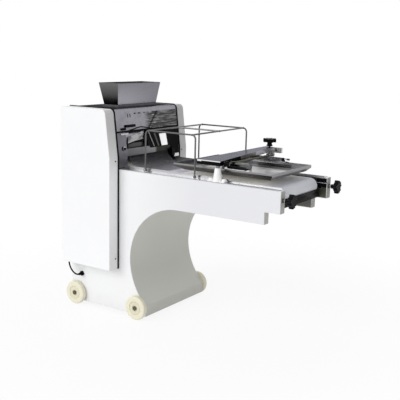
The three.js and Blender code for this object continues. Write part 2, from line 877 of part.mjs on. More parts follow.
// Chain loop round sprockets of one radius, as the outline of their hull
function chainOutline(centres, radius) {
  const points = [];
  centres.forEach(([x, z], i) => {
    const [px, pz] = centres[(i + centres.length - 1) % centres.length];
    const [nx, nz] = centres[(i + 1) % centres.length];
    const from = Math.atan2(pz - z, px - x) + Math.PI / 2;
    let to = Math.atan2(nz - z, nx - x) - Math.PI / 2;
    while (to < from) to += TURN;
    while (to - from > TURN) to -= TURN;
    points.push(...arc(x, z, radius, from, to, chainCornerSteps));
  });
  return points;
}

function driveChain() {
  const centres = [gearboxShaft, lowerRear, upperRear, driveDrum];
  const outer = chainOutline(centres, sprocketRadius + chainGap + chainDepth);
  const inner = chainOutline(centres, sprocketRadius + chainGap);
  return sideProfile(outer, sprocketPlane, sprocketPlane + sprocketWidth, [inner]);
}

// Gearbox bolted to the far panel, with the motor on its inner side
function gearbox() {
  const [x, z] = gearboxShaft;
  return block([x - gearboxLength / 2, x + gearboxLength / 2], [insidePanels - gearboxDepth, insidePanels],
    [z - gearboxHeight / 2, z + gearboxHeight / 2]).subtract(
    cylinderY(bore, x, z, insidePanels - gearboxDepth / 2, insidePanels + overrun));
}

function motorSprocket() {
  const [x, z] = gearboxShaft;
  const inEnd = insidePanels - gearboxDepth / 2 + seat;
  const end = sprocketPlane + sprocketWidth;
  return turnedY([[0, inEnd], [shaftRadius, inEnd], [shaftRadius, sprocketPlane],
    [sprocketRadius, sprocketPlane], [sprocketRadius, end], [0, end]], x, z);
}

function motor() {
  const [x, z] = gearboxShaft;
  const high = insidePanels - gearboxDepth - seat;
  const low = high - motorLength;
  const finPitch = motorLength / (motorFinCount * 2 + 1);
  const profile = [[0, low]];
  for (let i = 0; i <= motorFinCount * 2; i += 1) {
    const radius = i % 2 ? motorRadius - motorFinDepth : motorRadius;
    profile.push([radius, low + i * finPitch], [radius, low + (i + 1) * finPitch]);
  }
  profile.push([0, high]);
  return turnedY(profile, x, z);
}

// Belt loop round its two drums
function belt() {
  const loop = (radius) => [
    ...arc(endDrumX, drumZ, radius, -Math.PI / 2, Math.PI / 2, roundSides / 2),
    ...arc(driveDrumX, drumZ, radius, Math.PI / 2, Math.PI / 2 + Math.PI, roundSides / 2),
  ];
  return sideProfile(loop(beltOuterRadius), -beltHalfWidth, beltHalfWidth, [loop(beltInnerRadius)]);
}

function driveRoller() {
  const r = shaftRadius;
  const end = sprocketPlane + sprocketWidth;
  return turnedY([[0, -bearingPlateOuter], [r, -bearingPlateOuter], [r, -drumHalfLength],
    [drumRadius, -drumHalfLength], [drumRadius, drumHalfLength], [r, drumHalfLength], [r, sprocketPlane],
    [sprocketRadius, sprocketPlane], [sprocketRadius, end], [0, end]], driveDrumX, drumZ);
}

function endRoller() {
  const r = shaftRadius;
  const end = armPlateOuter + seat + takeUpWall - seat;
  return turnedY([[0, -end], [r, -end], [r, -drumHalfLength], [drumRadius, -drumHalfLength],
    [drumRadius, drumHalfLength], [r, drumHalfLength], [r, end], [0, end]], endDrumX, drumZ);
}

// Sheet under the belt's top run, with flanges down its wide part
function beltBed() {
  const top = beltTop - beltThickness - seat;
  const rear = driveDrumX + drumBedGap + shaftRadius;
  const front = endDrumX - drumBedGap - shaftRadius;
  const narrow = bearingPlateInner - seat;
  const wide = armPlateInner - seat;
  const outline = [
    [rear, -narrow], [bedNarrowStep, -narrow], [bedNarrowStep, -wide], [front, -wide],
    [front, wide], [bedNarrowStep, wide], [bedNarrowStep, narrow], [rear, narrow],
  ];
  let bed = plan(outline, top - bedSheet, top);
  for (const side of [NEAR, FAR]) {
    bed = bed.add(sideBlock(side, [bedNarrowStep, front], [wide - bedSheet, wide], [top - bedFlange, top]));
  }
  return bed;
}

// How far the guard's side frame stands from the middle plane; the far one stands by the rail's lip
function guardReach(side) {
  return side === FAR ? guardFarY : guardNearY;
}

// Stainless angle along the arm's top edge, with the ear and the pin of the guard's hinge
function beltRail(side) {
  const low = armTop + seat;
  const leaf = sideBlock(side, [armPlateStart, railEnd], [armPlateInner, armPlateInner + railLeafWidth],
    [low, low + railSheet]);
  const lipOutline = [
    [armPlateStart, low], [railEnd, low], [railEnd, railLow], [railStep + railRamp, railLow],
    [railStep, railTop], [armPlateStart, railTop],
  ];
  const lip = onSide(side, lipOutline, armPlateInner, armPlateInner + railSheet);
  const [x, z] = [guardRear, guardHingeZ];
  const y = guardReach(side);
  const earInner = y - hingeSleeveLength / 2 - seat - hingeEarSheet;
  const earOuter = earInner + hingeEarSheet;
  const ear = join(
    cylinderOnSide(side, hingeEarRadius, x, z, earInner, earOuter),
    sideBlock(side, [x - hingeEarRadius, x + hingeEarRadius], [earInner, earOuter], [low, z]),
  );
  const pin = cylinderOnSide(side, hingePinRadius, x, z, earInner, y + hingeSleeveLength / 2, rodSides);
  return join(leaf, lip, ear, pin);
}

// Bar across the head that the curling net hangs from
function netBar() {
  const half = jambInner - seat;
  const xs = [netBarX - netBarDepth / 2, netBarX + netBarDepth / 2];
  return block(xs, [-half, half], [netBarBottom, netBarTop]);
}

// Middle line of the net, from the bar down to the belt and along it
function netLine() {
  const top = netBarBottom - seat;
  const lying = beltTop + seat + netWire / 2;
  const hang = new THREE.CubicBezierCurve(
    new THREE.Vector2(netBarX, top), new THREE.Vector2(netBarX, (top + lying) / 2),
    new THREE.Vector2(netSag, lying), new THREE.Vector2(netTouchdown, lying));
  const points = hang.getPoints(netHangSteps);
  points.push(new THREE.Vector2(netEnd, lying));
  return points;
}

// The net: strips of wire along the line and rods of wire across it
function curlingNet() {
  const line = netLine();
  const half = netWire / 2;
  const normals = line.map((point, i) => {
    const ahead = line[Math.min(i + 1, line.length - 1)];
    const behind = line[Math.max(i - 1, 0)];
    const along = ahead.clone().sub(behind).normalize();
    return new THREE.Vector2(-along.y, along.x);
  });
  const above = line.map((point, i) => [point.x + normals[i].x * half, point.y + normals[i].y * half]);
  const below = line.map((point, i) => [point.x - normals[i].x * half, point.y - normals[i].y * half]);
  const outline = [...above, ...below.reverse()];
  const stripPitch = (netHalfWidth * 2 - netWire) / (netStrips - 1);
  const lengths = [0];
  for (let i = 1; i < line.length; i += 1) lengths.push(lengths[i - 1] + line[i].distanceTo(line[i - 1]));
  const total = lengths[lengths.length - 1];
  const parts = [];
  for (let i = 0; i < netStrips; i += 1) {
    const low = -netHalfWidth + i * stripPitch;
    parts.push(sideProfile(outline, low, low + netWire));
  }
  const rodHalf = half * netRodShare;
  for (let i = 0; i < netRods; i += 1) {
    const distance = netWire + (total - netWire * 2) * i / (netRods - 1);
    const leg = lengths.findIndex((length, k) => k > 0 && distance <= length);
    const share = (distance - lengths[leg - 1]) / (lengths[leg] - lengths[leg - 1]);
    const centre = line[leg - 1].clone().lerp(line[leg], share);
    const along = line[leg].clone().sub(line[leg - 1]).normalize().multiplyScalar(rodHalf);
    const across = new THREE.Vector2(-along.y, along.x);
    const square = [[-1, -1], [1, -1], [1, 1], [-1, 1]].map(([a, b]) => [
      centre.x + along.x * a + across.x * b, centre.y + along.y * a + across.y * b]);
    parts.push(sideProfile(square, -netHalfWidth, netHalfWidth));
  }
  return join(...parts);
}

// Bearing block of the end roller, moved along the arm by its screw
function takeUpBlock(side) {
  const inner = armPlateOuter + seat;
  const body = sideBlock(side, [endDrumX - takeUpRear, endDrumX + takeUpFront], [inner, inner + takeUpWall],
    [drumZ - takeUpHeight / 2, drumZ + takeUpHeight / 2]);
  const journal = cylinderOnSide(side, bore, endDrumX, drumZ, inner - overrun, inner + takeUpWall + overrun);
  const thread = cylinderX(screwRadius + seat, side * takeUpY, takeUpZ, endDrumX + bore + seat * 2,
    endDrumX + takeUpFront + overrun);
  return body.subtract(journal).subtract(thread);
}

// Outline of a hand knob with lobes
function lobed(radius, lobes, depth) {
  const points = [];
  const count = lobes * knobLobeSteps;
  for (let i = 0; i < count; i += 1) {
    const angle = TURN * i / count;
    const r = radius - depth * (1 - Math.cos(lobes * angle)) / 2;
    points.push([r * Math.cos(angle), r * Math.sin(angle)]);
  }
  return points;
}

// Tension knob with its moulded-in screw
function tensionKnob(side) {
  const y = side * takeUpY;
  const star = lobed(knobRadius, knobLobes, knobLobeDepth).map(([dy, dz]) => [y + dy, takeUpZ + dz]);
  const inner = knobEnd - knobThickness;
  return join(
    crossProfile(star, inner, knobEnd),
    cylinderX(knobHubRadius, y, takeUpZ, armEnd + knobGap, inner + overrun),
    cylinderX(screwRadius, y, takeUpZ, endDrumX + takeUpFront - screwTip - seat, inner),
  );
}

// Guard cage: a U of rod on each side, a cross rod at each end and one down the middle
function guard() {
  const parts = [];
  for (const side of [NEAR, FAR]) {
    const y = side * guardReach(side);
    const foot = armTop + seat + railSheet + seat;
    const corners = [[guardRear, y, guardHingeZ + hingePinGap], [guardRear, y, guardTop],
      [guardFront, y, guardTop], [guardFront, y, foot + footHeight / 2]];
    const sleeveHalf = hingeSleeveLength / 2;
    parts.push(bentRod(corners, rodRadius, guardBend, guardBendSteps, rodSides));
    parts.push(cylinderZ(footRadius, guardFront, y, foot, foot + footHeight, smallSides));
    parts.push(cylinderY(hingeSleeveRadius, guardRear, guardHingeZ, y - sleeveHalf, y + sleeveHalf));
  }
  for (const x of [guardRear + guardBend, guardFront - guardBend]) {
    parts.push(cylinderY(rodRadius, x, guardTop, -guardNearY, guardFarY, rodSides));
  }
  parts.push(cylinderX(rodRadius, 0, guardTop, guardRear + guardBend, guardFront - guardBend, rodSides));
  let cage = join(...parts);
  for (const side of [NEAR, FAR]) {
    const y = side * guardReach(side);
    cage = cage.subtract(cylinderY(hingePinRadius + seat, guardRear, guardHingeZ,
      y - hingeSleeveLength, y + hingeSleeveLength, rodSides));
  }
  return cage;
}

// Height of the bridge plate's top face at a place across the machine
function bridgeTop(y) {
  return bridgeNearZ + (bridgeFarZ - bridgeNearZ) * (y + bridgeHalfLength) / (bridgeHalfLength * 2);
}

function bridgePost(side, top, boreRadius, boreDepth) {
  const y = side * postY;
  const low = armTop + seat + railSheet + seat;
  const flange = block([postX - postFlangeLength / 2, postX + postFlangeLength / 2],
    [y - postFlangeWidth / 2, y + postFlangeWidth / 2], [low, low + postFlangeSheet]);
  const column = turnedZ([[0, low], [postFootRadius, low], [postHeadRadius, top], [0, top]], postX, y, roundSides);
  return join(flange, column)
    .subtract(cylinderZ(boreRadius, postX, y, top - boreDepth, top + overrun));
}

// Bridge plate: tapered, folded down at its near end and front edge, with the guide pin,
// the lugs of the cross screw and the end block
function bridgePlate() {
  const low = bridgeSheet;
  const half = bridgeHalfLength;
  const wedge = (rearLow, rearHigh, front, drop) => {
    const outline = [[rearLow, -half], [front, -half], [front, half], [rearHigh, half]];
    const slab = plan(outline, bridgeNearZ - half, bridgeFarZ + half);
    const [nearTop, farTop] = [bridgeTop(-half - overrun), bridgeTop(half + overrun)];
    const band = [
      [-half - overrun, nearTop - drop], [half + overrun, farTop - drop],
      [half + overrun, farTop], [-half - overrun, nearTop],
    ];
    return slab.intersect(crossProfile(band, rearLow - overrun, front + overrun));
  };
  const plate = wedge(bridgeNearRear, bridgeFarRear, bridgeFront, low);
  const frontFold = wedge(bridgeFront - low, bridgeFront - low, bridgeFront, bridgeFlange);
  const nearFold = wedge(bridgeNearRear, bridgeFarRear, bridgeFront, bridgeFlange)
    .intersect(block([0, bridgeFront], [-half, low - half], [0, bridgeFarZ]));
  const pinTop = bridgeTop(-postY) - low / 2;
  const pin = cylinderZ(pinRadius, postX, -postY, pinTop - pinLength, pinTop);
  const blockTop = bridgeTop(postY);
  const endBlock = block([bridgeFront - low, bridgeFront + bridgeBlockLength],
    [postY - bridgeBlockWidth / 2, postY + bridgeBlockWidth / 2], [blockTop - bridgeBlockHeight, blockTop]);
  const lugs = [NEAR, FAR].map((side) => {
    const y = side * guideLugY;
    const ys = [y - guideLugSheet / 2, y + guideLugSheet / 2];
    const xs = [bridgeFront - low, guideScrewX + guideLugHalfHeight];
    return block(xs, ys, [guideScrewZ - guideLugHalfHeight, bridgeTop(y) - low / 2]);
  });
  const screwHole = cylinderZ(screwRadius + seat, postX, postY, bridgeNearZ, bridgeFarZ + overrun);
  const crossHole = cylinderY(guideScrewRadius + seat, guideScrewX, guideScrewZ, -half, half);
  return join(plate, frontFold, nearFold, pin, endBlock, ...lugs).subtract(screwHole).subtract(crossHole);
}

// Pressure board: a tray with flared walls and an upright lip, hung from the bridge on two studs
function pressureBoard() {
  const s = traySheet;
  const tray = ([rear, front, half], [rimRear, rimFront, rimHalf], low, high) => join(
    flare([rear, front, half, low], [rimRear, rimFront, rimHalf, trayFold]),
    block([rimRear, rimFront], [-rimHalf, rimHalf], [trayFold, high]),
  );
  const foot = [trayFloorRear, trayFloorFront, trayFloorHalfWidth];
  const rim = [trayRimRear, trayRimFront, trayRimHalfWidth];
  const within = ([rear, front, half]) => [rear + s, front - s, half - s];
  const outside = tray(foot, rim, trayBottom, trayRim);
  const inside = tray(within(foot), within(rim), trayBottom + s, trayRim + overrun);
  const studs = [[nearStudX, nearStudY], [farStudX, farStudY]].map(([x, y]) => {
    const top = bridgeTop(y - studRadius) - bridgeSheet - seat;
    return cylinderZ(studRadius, x, y, trayBottom + s / 2, top);
  });
  return join(outside.subtract(inside), ...studs);
}

// Cross screw of the side guides, with its knob at the near end and a collar at the far end
function guideScrew() {
  const shoulder = guideLugY + guideLugSheet / 2 + seat;
  const [x, z] = [guideScrewX, guideScrewZ];
  const outline = lobed(guideKnobRadius, guideKnobLobes, guideSheet).map(([dx, dz]) => [x + dx, z + dz]);
  return join(
    cylinderY(guideScrewRadius, x, z, -shoulder - guideKnobLength / 2, shoulder + guideCollarWidth / 2),
    sideProfile(outline, -shoulder - guideKnobLength, -shoulder),
    cylinderY(guideCollarRadius, x, z, shoulder, shoulder + guideCollarWidth),
  );
}

// Side guide: a shallow channel along X, hung on the cross screw by its nut block
function sideGuide(side, rear, front) {
  const y = side * guideY;
  const s = guideSheet;
  const half = guideHalfBase;
  const rise = guideWallRise;
  const lean = guideWallLean;
  const outer = [[-half - lean, rise], [-half, 0], [half, 0], [half + lean, rise]];
  const inner = [[half + lean - s, rise], [half - s / 2, s], [-half + s / 2, s], [-half - lean + s, rise]];
  const channel = [...outer, ...inner].map(([dy, dz]) => [y + dy, guideBaseZ + dz]);
  const b = guideBlockHalf;
  const nut = block([guideScrewX - b, guideScrewX + b], [y - b, y + b],
    [guideBaseZ + s / 2, guideScrewZ + b]);
  const thread = cylinderY(guideScrewRadius + seat, guideScrewX, guideScrewZ, y - b - overrun,
    y + b + overrun);
  return crossProfile(channel, rear, front).add(nut).subtract(thread);
}

// Height knob: mushroom head, stem and screw
function heightKnob() {
  const screwLow = heightKnobBase - heightScrewLength;
  const rimLow = heightKnobTop - heightKnobRim;
  const edge = knobLobeDepth;
  return turnedZ([
    [0, screwLow], [screwRadius, screwLow], [screwRadius, heightKnobBase],
    [heightKnobStem + edge, heightKnobBase], [heightKnobStem, heightKnobBase + edge * 2],
    [heightKnobStem, rimLow - edge], [heightKnobRadius - edge, rimLow], [heightKnobRadius, rimLow + edge],
    [heightKnobRadius, heightKnobTop - edge], [heightKnobRadius - edge, heightKnobTop], [0, heightKnobTop],
  ], postX, postY, smallSides);
}

// Nylon wheel on one end of an axle
function wheel(side, x) {
  const width = wheelOuter - wheelInner;
  const r = axleRadius + seat;
  const dish = [
    [r, 0], [wheelRadius - wheelEdge, 0], [wheelRadius, wheelEdge], [wheelRadius, width - wheelEdge],
    [wheelRadius - wheelEdge, width], [wheelRecessRadius + wheelRecess, width],
    [wheelRecessRadius, width - wheelRecess], [r, width - wheelRecess], [r, 0],
  ];
  const profile = side === FAR ? dish.map(([radius, y]) => [radius, wheelInner + y])
    : dish.map(([radius, y]) => [radius, -wheelInner - y]).reverse();
  return turnedY(profile, x, wheelRadius);
}

// Axle through the base with a hexagon head outside each wheel
function axle(x) {
  const reach = wheelOuter - wheelRecess + seat;
  const rod = cylinderY(axleRadius, x, wheelRadius, -reach - axleHeadHeight, reach + axleHeadHeight);
  const [low, high] = [reach, reach + axleHeadHeight];
  const heads = [NEAR, FAR].map((side) => (
    cylinderOnSide(side, axleHead, x, wheelRadius, low, high, axleHeadSides)));
  return join(rod, ...heads);
}

// Power lead from the gland, out and up to the underside of the side cover
function powerLead() {
  const exit = [glandX, -(panelOuter + seat + glandCollar + glandNose + seat), glandZ];
  const upIn = [leadUpX, leadUpY, coverBottom + leadTail];
  const stops = [exit, ...leadRoute, [leadUpX, leadUpY, coverBottom - leadTail], upIn];
  const points = stops.map((stop) => new THREE.Vector3(...stop));
  const curve = new THREE.CatmullRomCurve3(points, false, 'centripetal');
  return sweptRod(curve.getSpacedPoints(leadSteps), leadRadius, leadSides);
}

function cordGland() {
  const face = -(panelOuter + seat);
  return turnedY([[0, face - glandCollar - glandNose], [glandNoseRadius, face - glandCollar - glandNose],
    [glandNoseRadius, face - glandCollar], [glandRadius, face - glandCollar], [glandRadius, face], [0, face]],
  glandX, glandZ, smallSides);
}

// Assembly
piece('near_side_panel', sidePanel(NEAR), whitePaint);
piece('far_side_panel', sidePanel(FAR), whitePaint);
piece('curved_front_sheet', curvedFront(), whitePaint);
piece('base_plate', basePlate(), whitePaint);
piece('rear_panel', rearPanel(), whitePaint);
piece('near_arm_plate', armPlate(NEAR), stainless);
piece('far_arm_plate', armPlate(FAR), stainless);
piece('near_head_plate', headPlate(NEAR), stainless);
piece('far_head_plate', headPlate(FAR), stainless);
piece('head_front_panel', frontPanel(), stainless);
piece('head_top_plate', topPlate(), darkSheet);
piece('roller_shield', rollerShield(), darkSheet);
piece('nylon_block', nylonBlock(), whiteNylon);
piece('near_side_cover', sideCover(NEAR), whitePaint);
piece('far_side_cover', sideCover(FAR), whitePaint);
piece('near_cover_seal', coverSeal(NEAR), blackRubber);
piece('far_cover_seal', coverSeal(FAR), blackRubber);
piece('hopper', hopper(), stainless);
piece('hopper_collar', hopperCollar(), darkSheet);

const upperNearEnd = upperGearPlane + gearWidth;
const lowerNearEnd = lowerGearPlane + gearWidth;
const upperPitch = upperRollerSpacing / 2;
const lowerPitch = lowerRollerSpacing / 2;
const halfTooth = Math.PI / gearTeeth;
piece('upper_rear_roller', sheetingRoller(upperRear, upperRollerRadius, upperNearEnd, true), polished);
piece('upper_front_roller', sheetingRoller(upperFront, upperRollerRadius, upperNearEnd, false), polished);
piece('lower_rear_roller', sheetingRoller(lowerRear, lowerRollerRadius, lowerNearEnd, true), polished);
piece('lower_front_roller', sheetingRoller(lowerFront, lowerRollerRadius, lowerNearEnd, false), polished);
piece('upper_rear_gear', gear(upperRear, upperPitch, 0, upperGearPlane), steel);
piece('upper_front_gear', gear(upperFront, upperPitch, halfTooth, upperGearPlane), steel);
piece('lower_rear_gear', gear(lowerRear, lowerPitch, 0, lowerGearPlane), steel);
piece('lower_front_gear', gear(lowerFront, lowerPitch, halfTooth, lowerGearPlane), steel);
piece('drive_chain', driveChain(), steel);
piece('gearbox', gearbox(), motorPaint);
piece('motor_sprocket', motorSprocket(), steel);
piece('motor', motor(), motorPaint);

piece('belt', belt(), beltCloth);
piece('drive_roller', driveRoller(), steel);
piece('end_roller', endRoller(), steel);
piece('belt_bed', beltBed(), stainless);
piece('near_belt_rail', beltRail(NEAR), stainless);
piece('far_belt_rail', beltRail(FAR), stainless);
piece('net_bar', netBar(), stainless);
piece('curling_net', curlingNet(), steel);
piece('near_take_up_block', takeUpBlock(NEAR), blackPlastic);
piece('far_take_up_block', takeUpBlock(FAR), blackPlastic);
piece('near_tension_knob', tensionKnob(NEAR), blackPlastic);
piece('far_tension_knob', tensionKnob(FAR), blackPlastic);

piece('guard_cage', guard(), stainless);
piece('near_bridge_post', bridgePost(NEAR, nearPostTop, pinRadius + seat, pinBoreDepth), whiteNylon);
piece('far_bridge_post', bridgePost(FAR, farPostTop, screwRadius + seat, heightScrewBoreDepth), whiteNylon);
piece('bridge_plate', bridgePlate(), polished);
piece('pressure_board', pressureBoard(), polished);
piece('guide_screw', guideScrew(), steel);
piece('near_side_guide', sideGuide(NEAR, nearGuideRear, nearGuideFront), stainless);
piece('far_side_guide', sideGuide(FAR, farGuideRear, farGuideFront), stainless);
piece('height_knob', heightKnob(), blackPlastic);

piece('front_axle', axle(frontAxleX), steel);
piece('rear_axle', axle(rearAxleX), steel);
piece('near_front_wheel', wheel(NEAR, frontAxleX), creamNylon);
piece('near_rear_wheel', wheel(NEAR, rearAxleX), creamNylon);
piece('far_front_wheel', wheel(FAR, frontAxleX), creamNylon);
piece('far_rear_wheel', wheel(FAR, rearAxleX), creamNylon);
piece('cord_gland', cordGland(), blackPlastic);
piece('power_lead', powerLead(), blackRubber);

// Centre the whole length on the origin
machine.position.x = -(knobEnd + rearAxleX - wheelRadius) / 2;
const part = new THREE.Group();
part.add(machine);

export default part;
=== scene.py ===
# %% [markdown]
# A dough moulding machine, dressed around its CAD frame. Each cell before a step says what the
# piece or finish is on the real machine, how it could be made in Blender, and why it is made this way.
# The frame comes in first: its bodies move, and every visible piece rides on one of them.

# %% Load the frame
import json
import math

import bmesh
import bpy
from mathutils import Matrix, Vector


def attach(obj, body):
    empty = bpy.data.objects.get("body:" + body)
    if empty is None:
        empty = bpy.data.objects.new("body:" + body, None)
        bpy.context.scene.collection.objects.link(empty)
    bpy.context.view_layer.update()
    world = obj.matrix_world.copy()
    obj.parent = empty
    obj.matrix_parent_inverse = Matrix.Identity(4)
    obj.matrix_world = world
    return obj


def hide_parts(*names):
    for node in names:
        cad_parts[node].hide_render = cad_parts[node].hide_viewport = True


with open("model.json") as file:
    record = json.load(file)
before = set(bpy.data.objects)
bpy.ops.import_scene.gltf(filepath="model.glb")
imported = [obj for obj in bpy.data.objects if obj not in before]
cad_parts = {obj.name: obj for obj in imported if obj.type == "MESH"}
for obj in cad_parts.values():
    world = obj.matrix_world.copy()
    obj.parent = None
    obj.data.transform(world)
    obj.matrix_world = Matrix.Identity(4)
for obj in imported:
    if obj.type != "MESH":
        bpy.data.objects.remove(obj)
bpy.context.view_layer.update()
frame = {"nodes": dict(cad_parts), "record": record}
nodes = frame["nodes"]
body_of = {node: body for body, members in frame["record"]["behaviour"]["bodies"].items() for node in members}
slot_of = {row["node"]: row["material_slot"] for row in frame["record"]["subparts"]}
scene = bpy.context.scene
scene.view_settings.view_transform = "Standard"

# %% [markdown]
# The machine was measured in millimetres, with x counted from the front of its column. Places could
# be converted by hand, but one small function keeps the measured numbers readable in every cell.

# %% Measures
MM = 0.001
COLUMN_FRONT = -313.75
NEAR = -1
FAR = 1


def at(x, y, z):
    """A measured place in millimetres as a point of the frame in metres"""
    return Vector(((x + COLUMN_FRONT) * MM, y * MM, z * MM))


print("column front stands at", at(0, 0, 0).x, "m")

# %% [markdown]
# The camera stands where the photographer stood, front left and a little above the hopper. It could
# be aimed with a constraint, but its place and turns were solved from the picture's edges, so the
# matrix is written from three angles. Sensor and lens give the field of view; nothing is shifted.

# %% Camera
CAMERA_PLACE = Vector((2.0733, -3.0829, 1.3464))
CAMERA_YAW = 0.59005
CAMERA_PITCH = 0.19695
CAMERA_ROLL = 0.0236
SENSOR = 36
FOCAL_SHARE = 1.84958


def aim(place, yaw, pitch, roll):
    forward = Vector((-math.sin(yaw) * math.cos(pitch), math.cos(yaw) * math.cos(pitch), -math.sin(pitch)))
    right = Vector((math.cos(yaw), math.sin(yaw), 0))
    up = right.cross(forward)
    side = right * math.cos(roll) + up * math.sin(roll)
    head = up * math.cos(roll) - right * math.sin(roll)
    turn = Matrix((side, head, -forward)).transposed().to_4x4()
    return Matrix.Translation(place) @ turn


view = bpy.data.cameras.new("photo_view")
view.sensor_width = SENSOR
view.lens = SENSOR * FOCAL_SHARE
camera = bpy.data.objects.new("photo_view", view)
scene.collection.objects.link(camera)
camera.matrix_world = aim(CAMERA_PLACE, CAMERA_YAW, CAMERA_PITCH, CAMERA_ROLL)
scene.camera = camera
print("camera: lens", round(view.lens, 2), "mm")

# %% [markdown]
# Shader maths reads best as sums. A node tree could be wired link by link, but a small wrapper round
# a socket lets an expression add its own Math nodes, and one method makes every other kind of node.

# %% A socket that can be reckoned with
class Wire:
    def __init__(self, tree, socket):
        self.tree = tree
        self.socket = socket

    def node(self, kind, inputs, output=0, stops=None, **settings):
        made = self.tree.nodes.new(kind)
        for name, value in settings.items():
            setattr(made, name, value)
        if stops:
            for element, (place, level) in zip(made.color_ramp.elements, stops):
                element.position = place
                element.color = (level, level, level, 1)
        for name, value in inputs.items():
            if isinstance(value, Wire):
                self.tree.links.new(value.socket, made.inputs[name])
            else:
                made.inputs[name].default_value = value
        return Wire(self.tree, made.outputs[output])

    def maths(self, operation, *values):
        return self.node("ShaderNodeMath", dict(enumerate(values)), operation=operation)

    def __add__(self, other):
        return self.maths("ADD", self, other)

    def __sub__(self, other):
        return self.maths("SUBTRACT", self, other)

    def __rsub__(self, other):
        return self.maths("SUBTRACT", other, self)

    def __mul__(self, other):
        return self.maths("MULTIPLY", self, other)

    __radd__ = __add__
    __rmul__ = __mul__

    def above(self, limit):
        return self.maths("GREATER_THAN", self, limit)

    def below(self, limit):
        return self.maths("LESS_THAN", self, limit)

    def noise(self, scale, detail=3.0, stretch=(1, 1, 1), roughness=0.55):
        place = self.node("ShaderNodeMapping", {"Vector": self, "Scale": stretch})
        return self.node("ShaderNodeTexNoise", {"Vector": place, "Scale": scale, "Detail": detail,
                                                "Roughness": roughness})

    def ramp(self, low, high):
        """0 below the low value, 1 above the high one, and a straight slope between them"""
        return self.node("ShaderNodeMapRange", {"Value": self, "From Min": low, "From Max": high})

    def band(self, centre, half):
        """1 on a line, falling to 0 at half a width from it"""
        return 1 - self.maths("ABSOLUTE", self - centre).ramp(0, half)

    def along(self, axis):
        return self.node("ShaderNodeSeparateXYZ", {"Vector": self}, output="XYZ".index(axis))


def colour_mix(share, low, high):
    made = share.tree.nodes.new("ShaderNodeMix")
    made.data_type = "RGBA"
    pairs = ((made.inputs[0], share), (made.inputs[6], low), (made.inputs[7], high))
    for socket, value in pairs:
        if isinstance(value, Wire):
            share.tree.links.new(value.socket, socket)
        else:
            socket.default_value = value
    return Wire(share.tree, made.outputs[2])


print("shader helper ready")

# %% [markdown]
# Light is plain and soft: an even grey world, and one wide sun from the front left, as in the
# picture, where the near side is bright and the faces towards the discharge end are grey. The
# camera, gloss and glass see the world as white. A room of softboxes would do the same with more noise.

# %% Light
WORLD_LEVEL = 0.61
SUN_LEVEL = 1.32
SUN_WIDTH = math.radians(40)
SUN_FROM = Vector((-0.45, -1.0, 0.56))


def sees_white(tree, first):
    """1 for a ray of the camera, a reflection or glass, and 0 for light on the object"""
    path = Wire(tree, first.outputs["Is Camera Ray"])
    for name in ("Is Glossy Ray", "Is Transmission Ray"):
        path = path.maths("MAXIMUM", path, Wire(tree, first.outputs[name]))
    return path


world = bpy.data.worlds.new("studio")
world.use_nodes = True
scene.world = world
background = world.node_tree.nodes["Background"]
rays = world.node_tree.nodes.new("ShaderNodeLightPath")
level = sees_white(world.node_tree, rays) * (1 - WORLD_LEVEL) + WORLD_LEVEL
background.inputs["Color"].default_value = (1, 1, 1, 1)
world.node_tree.links.new(level.socket, background.inputs["Strength"])

sun = bpy.data.lights.new("window", "SUN")
sun.energy = SUN_LEVEL
sun.angle = SUN_WIDTH
lamp = bpy.data.objects.new("window", sun)
scene.collection.objects.link(lamp)
lamp.rotation_euler = SUN_FROM.to_track_quat("Z", "Y").to_euler()
print("light: world", WORLD_LEVEL, "sun", SUN_LEVEL)

# %% [markdown]
# The floor is white paper. It could be a plane that only catches shadow, but then the machine would
# have nothing pale below it to reflect, so it is a real sheet whose colour turns white for the camera.

# %% Floor
FLOOR_HALF = 14
FLOOR_CUTS = 12
FLOOR_WHITE = (0.96, 0.96, 0.96, 1)
SHADOW_SHARE = 0.12
SHADOW_NEAR = 0.8
SHADOW_FAR = 1.8


def deselect():
    bpy.ops.object.select_all(action="DESELECT")


def alone(piece):
    """Selects one object and nothing else"""
    deselect()
    piece.select_set(True)
    bpy.context.view_layer.objects.active = piece


deselect()
bpy.ops.mesh.primitive_grid_add(x_subdivisions=FLOOR_CUTS, y_subdivisions=FLOOR_CUTS, size=FLOOR_HALF * 2)
floor = bpy.context.object
floor.name = "floor"
paper = bpy.data.materials.new("paper")
paper.use_nodes = True
paper_tree = paper.node_tree
paper_tree.nodes.remove(paper_tree.nodes["Principled BSDF"])
paper_place = Wire(paper_tree, paper_tree.nodes.new("ShaderNodeTexCoord").outputs["Object"])
paper_rays = paper_tree.nodes.new("ShaderNodeLightPath")
away = paper_place.node("ShaderNodeVectorMath", {0: paper_place}, output="Value", operation="LENGTH")
shadow = (1 - away.ramp(SHADOW_NEAR, SHADOW_FAR)) * SHADOW_SHARE
seen = sees_white(paper_tree, paper_rays) * (1 - shadow)
matt = paper_place.node("ShaderNodeBsdfDiffuse", {"Color": FLOOR_WHITE})
glow = paper_place.node("ShaderNodeEmission", {"Color": (1, 1, 1, 1), "Strength": 1.0})
mixed = paper_place.node("ShaderNodeMixShader", {0: seen, 1: matt, 2: glow})
paper_tree.links.new(mixed.socket, paper_tree.nodes["Material Output"].inputs["Surface"])
floor.data.materials.append(paper)
print("floor laid,", FLOOR_HALF * 2, "m wide")

# %% [markdown]
# Each finish is one small function that draws what the real surface shows: orange peel and scuffs on
# powder coat, brush grain on stainless, mould bloom on nylon. A flat colour would be quicker, but the
# grain is what tells steel from paint. Patterns read Object coordinates, so they stay on the piece.

# %% What every finish starts from
MATERIALS = {}


